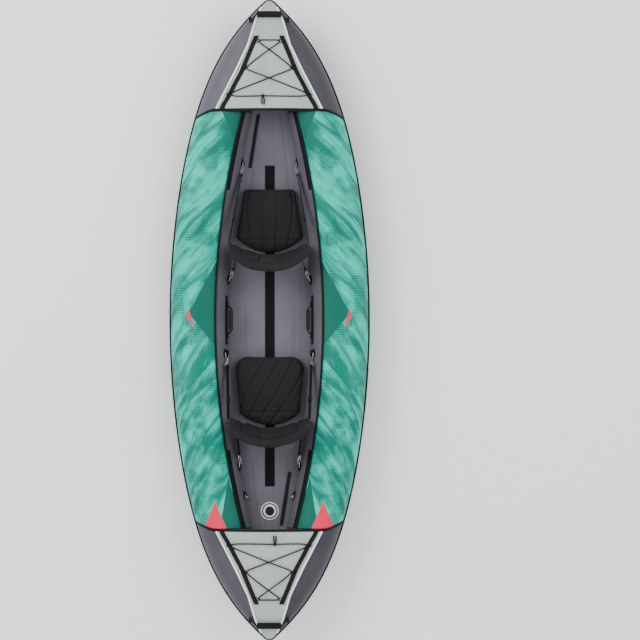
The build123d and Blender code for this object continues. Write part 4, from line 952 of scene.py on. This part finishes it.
def pull_piece(name, node, paint, front, divide):
    """One end's straps or buckles of a seat, cut out of their CAD piece and made finer."""
    piece = merged_copy(node, name, 0.00005)
    bpy.ops.object.mode_set(mode="EDIT")
    bpy.ops.mesh.select_all(action="DESELECT")
    bpy.ops.object.mode_set(mode="OBJECT")
    for corner in piece.data.vertices:
        ahead_of_seam = corner.co.y > divide
        corner.select = ahead_of_seam != front
    bpy.ops.object.mode_set(mode="EDIT")
    bpy.ops.mesh.delete(type="VERT")
    bpy.ops.mesh.select_all(action="SELECT")
    bpy.ops.mesh.subdivide(number_cuts=3)
    bpy.ops.object.mode_set(mode="OBJECT")
    piece.data.materials.append(paint)
    return piece


for place_name, seat in SEATS.items():
    divide = seat["rear"] + SEAM_CLEARANCE
    for end in ("front", "rear"):
        node = f"{place_name}_seat_straps"
        strap = pull_piece(f"{place_name}_{end}_brace", node, strap_cloth, end == "front", divide)
        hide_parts(node)
        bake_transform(strap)
    node = f"{place_name}_seat_buckles"
    buckle = pull_piece(f"{place_name}_front_buckle", node, buckle_plastic, True, divide)
    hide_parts(node)
    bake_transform(buckle)

# ------------------------------------------------------------------ rings, hooks and handles
# Bright steel D-rings and snap hooks, webbing handles with soft grip tubes, and moulded black
# plastic at the zips, the valve and the fin.


def steel_material(name):
    """Drawn steel with fine grain and smears."""
    paint, tree, surface, where = start_material(name, 0.25)
    surface.inputs["Metallic"].default_value = 1.0
    grain = put(tree, "TexNoise", [where, None, 180.0, 3.0, 0.6])
    tone = blend_colours(tree, grain, (0.20, 0.20, 0.21, 1), (0.46, 0.46, 0.48, 1))
    feed(tree, tone, surface.inputs["Base Color"])
    vary_roughness(tree, surface, grain, 0.26, 0.44)
    add_bump(tree, surface, grain, 0.0001, 0.2)
    return paint


bright_steel = steel_material("bright_steel")
grip_rubber = piping_material("grip_rubber", linear(24, 24, 25), 0.6)
black_plastic = piping_material("black_plastic", linear(24, 24, 26), 0.42)
for name in ("seat_rings", "snap_hooks", "port_spare_ring", "starboard_spare_ring"):
    dress(name, bright_steel)
for name in ("port_carry_grip", "starboard_carry_grip"):
    dress(name, grip_rubber)
GRIP_DEPTH = 0.030
GRIP_OVERLAP = 1.12
for place_name, _ in ENDS:
    low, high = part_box(f"{place_name}_grab_grip")
    middle = (low + high) / 2
    bpy.ops.object.select_all(action="DESELECT")
    bpy.ops.mesh.primitive_cylinder_add(
        vertices=32, radius=0.5, depth=1, location=middle, rotation=(0, math.pi / 2, 0)
    )
    sleeve = bpy.context.object
    sleeve.name = f"{place_name}_grab_sleeve"
    sleeve.dimensions = (high.z - low.z, GRIP_DEPTH, (high.x - low.x) * GRIP_OVERLAP)
    bpy.ops.object.transform_apply(location=True, rotation=True, scale=True)
    bpy.ops.object.mode_set(mode="EDIT")
    bpy.ops.mesh.select_all(action="SELECT")
    bpy.ops.mesh.bevel(offset=0.003, segments=2)
    bpy.ops.object.mode_set(mode="OBJECT")
    bpy.ops.object.shade_smooth_by_angle(angle=0.7)
    sleeve.data.materials.append(black_webbing)
    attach(sleeve, f"{place_name}_grab")
    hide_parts(f"{place_name}_grab_grip")
for name in ("valve_cap", "valve_pin", "fin", "fin_box", "bow_zip_slider", "stern_zip_slider"):
    dress(name, black_plastic)

# the valve's flange: a thin white rim, a grey gasket ring and the white body
VALVE_Y = -0.964
VALVE_BODY_RADIUS = 0.0325
VALVE_GASKET_RADIUS = 0.0405
valve_rings, tree, surface, where = start_material("valve_rings", 0.4)
surface.inputs["Specular IOR Level"].default_value = 0.5
flat_place = put(tree, "VectorMath", [where, (1.0, 1.0, 0.0)], operation="MULTIPLY")
from_middle = put(tree, "VectorMath", [flat_place, (0.0, VALVE_Y, 0.0)], operation="DISTANCE")
off_middle = from_middle.outputs["Value"]
past_body = calc(tree, "GREATER_THAN", off_middle, VALVE_BODY_RADIUS)
inside_rim = calc(tree, "LESS_THAN", off_middle, VALVE_GASKET_RADIUS)
gasket = calc(tree, "MULTIPLY", past_body, inside_rim)
specks = put(tree, "TexNoise", [where, None, 240.0, 3.0, 0.6])
plastic = blend_colours(tree, specks, linear(214, 216, 214), linear(244, 246, 244))
ringed = blend_colours(tree, gasket, plastic, linear(70, 69, 76))
feed(tree, ringed, surface.inputs["Base Color"])
add_bump(tree, surface, specks, 0.0002, 0.2)
dress("valve_body", valve_rings)
zip_black = webbing_material("zip_tape", linear(18, 18, 20), 0.6, 1800.0)
for name in ("bow_zip", "stern_zip"):
    dress(name, zip_black)

# ------------------------------------------------------------------ shock cord lacing
# Black shock cord laced in three rows across each deck through the webbing loops, tied in a
# knot near the deck's edge. Two short tails lie on the deck.
CORD_WIDTH = 0.006
LACING_LIFT = 0.006
WHITE_CORD_RADIUS = 0.0052
WHITE_CORD_LIFT = 0.0050
# across, station and rise over the deck, in millimetres, with the knot at both ends
LACING_ROUTE = [
    (-39.3, 1113, 4), (-110, 1112, 0), (-176, 1113, 1), (-192, 1121, 3), (-180, 1133, 1), (-108, 1161, 0),
    (-28, 1191, 0), (36, 1216, 0), (101, 1241, 0), (115, 1251, 0), (105, 1263, 0), (60, 1299, 0),
    (2, 1343, 0), (-42, 1375, 0), (-54, 1386, 0), (-40, 1393, 0), (8, 1391, 0), (44, 1393, 0),
    (56, 1385, 0), (44, 1374, 0), (16, 1354, 6), (-14, 1331, 6), (-60, 1299, 0), (-104, 1263, 0),
    (-115, 1251, 0), (-101, 1241, 0), (-36, 1216, 6), (14, 1197, 6), (96, 1165, 0), (180, 1133, 1),
    (192, 1121, 3), (176, 1113, 1), (100, 1112, 0), (40, 1112.5, 1), (-20.7, 1113, 4),
]
YARNS = 2600.0
TAILS = [
    [(-33.4, 1104.3, 4), (-38, 1090, 1), (-34, 1072, 0)],
    [(-26.6, 1104.3, 4), (-21, 1091, 1), (-24, 1070, 0)],
]


def deck_height(x, y):
    """The deck's own height over the ground at a point."""
    over = abs(x) - tube_x(y)
    if over > 0:
        return tube_z(y) + math.sqrt(panel_radius(y) ** 2 - over ** 2)
    crown, bend = deck_crown(y)
    return tube_z(y) + panel_radius(y) + crown - bend + math.sqrt(bend ** 2 - x ** 2)


def cord_material(name, colour):
    """Braided sheath: two crossing spirals of fine yarn, with painted light on the raised yarn and painted
    shade in the hollows between.
    """
    paint, tree, surface, where = start_material(name, 0.7)
    parts = put(tree, "SeparateXYZ", [where])
    spirals = []
    for operation in ("ADD", "SUBTRACT"):
        turned = calc(tree, operation, parts.outputs[0], parts.outputs[1])
        close = calc(tree, "MULTIPLY", turned, YARNS)
        spirals.append(calc(tree, "SINE", close))
    braid = calc(tree, "MULTIPLY", *spirals)
    # the braid's raised yarn is painted lighter and its hollows darker: painted light and shade
    lit = put(tree, "MapRange", [braid, -1.0, 1.0, 0.0, 1.0])
    tone = blend_colours(tree, lit, shade_of(colour, 0.7), shade_of(colour, 1.5))
    feed(tree, tone, surface.inputs["Base Color"])
    add_bump(tree, surface, braid, 0.0003, 0.6)
    return paint


shock_cord = cord_material("shock_cord", linear(12, 12, 13))
for side, hand in SIDES:
    for place_name, end in ENDS:
        run = [
            (side * piping_half(y), end * y, deck_height(piping_half(y), y) + WHITE_CORD_LIFT)
            for y in span(DECK_START + 0.013, 1.560, 0.012)
        ]
        sewn_cord(f"{place_name}_{hand}_white_cord", run, WHITE_CORD_RADIUS, white_piping, "deck_piping")


def deck_cord(name, route, end):
    """One open smooth line through the route's points, as thick as the cord."""
    line = bpy.data.curves.new(name, "CURVE")
    line.dimensions = "3D"
    line.resolution_u = 8
    line.bevel_depth = CORD_WIDTH / 2
    line.bevel_resolution = 4
    line.use_fill_caps = True
    spline = line.splines.new("NURBS")
    spline.points.add(len(route) - 1)
    for point, (x, y, rise) in zip(spline.points, route):
        x, y = x / 1000, y / 1000
        height = deck_height(x, y) + LACING_LIFT + rise / 1000
        if end < 0:
            x, y = -x, -y
        point.co = (x, y, height, 1)
    spline.order_u = 3
    spline.use_endpoint_u = True
    made = bpy.data.objects.new(name, line)
    bpy.context.scene.collection.objects.link(made)
    line.materials.append(shock_cord)
    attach(made, "hull")
    return made


# small cord loops sewn into the webbing's inner edge, one at each turn of the lacing
LOOP_PLACES = ((0.060, 1.388), (0.120, 1.252), (0.199, 1.123))
LOOP_LIFT = 0.0062
LOOP_RADIUS = 0.0095
LOOP_CORD_RADIUS = 0.0021
for place_name, end in ENDS:
    loops = []
    for x, y in LOOP_PLACES:
        for side in (1, -1):
            height = deck_height(x, y) + LOOP_LIFT
            bpy.ops.object.select_all(action="DESELECT")
            bpy.ops.mesh.primitive_torus_add(
                location=(side * x * end, end * y, height), major_radius=LOOP_RADIUS,
                minor_radius=LOOP_CORD_RADIUS, major_segments=20, minor_segments=8,
            )
            ring = bpy.context.object
            ring.scale = (1.25, 0.8, 1.0)
            ring.rotation_euler = (math.radians(18), 0, math.radians(-20 * side))
            bpy.ops.object.transform_apply(location=True, rotation=True, scale=True)
            bpy.ops.object.shade_smooth()
            ring.data.materials.append(shock_cord)
            loops.append(ring)
    bpy.ops.object.select_all(action="DESELECT")
    for ring in loops:
        ring.select_set(True)
    bpy.context.view_layer.objects.active = loops[0]
    bpy.ops.object.join()
    loops[0].name = f"{place_name}_lace_loops"
    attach(loops[0], "hull")

for place_name, end in ENDS:
    lace = deck_cord(f"{place_name}_lace", LACING_ROUTE, end)
    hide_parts(f"{place_name}_lacing")
    for number, tail in enumerate(TAILS):
        deck_cord(f"{place_name}_tail_{number + 1}", tail, end)
    dress(f"{place_name}_knot", shock_cord)
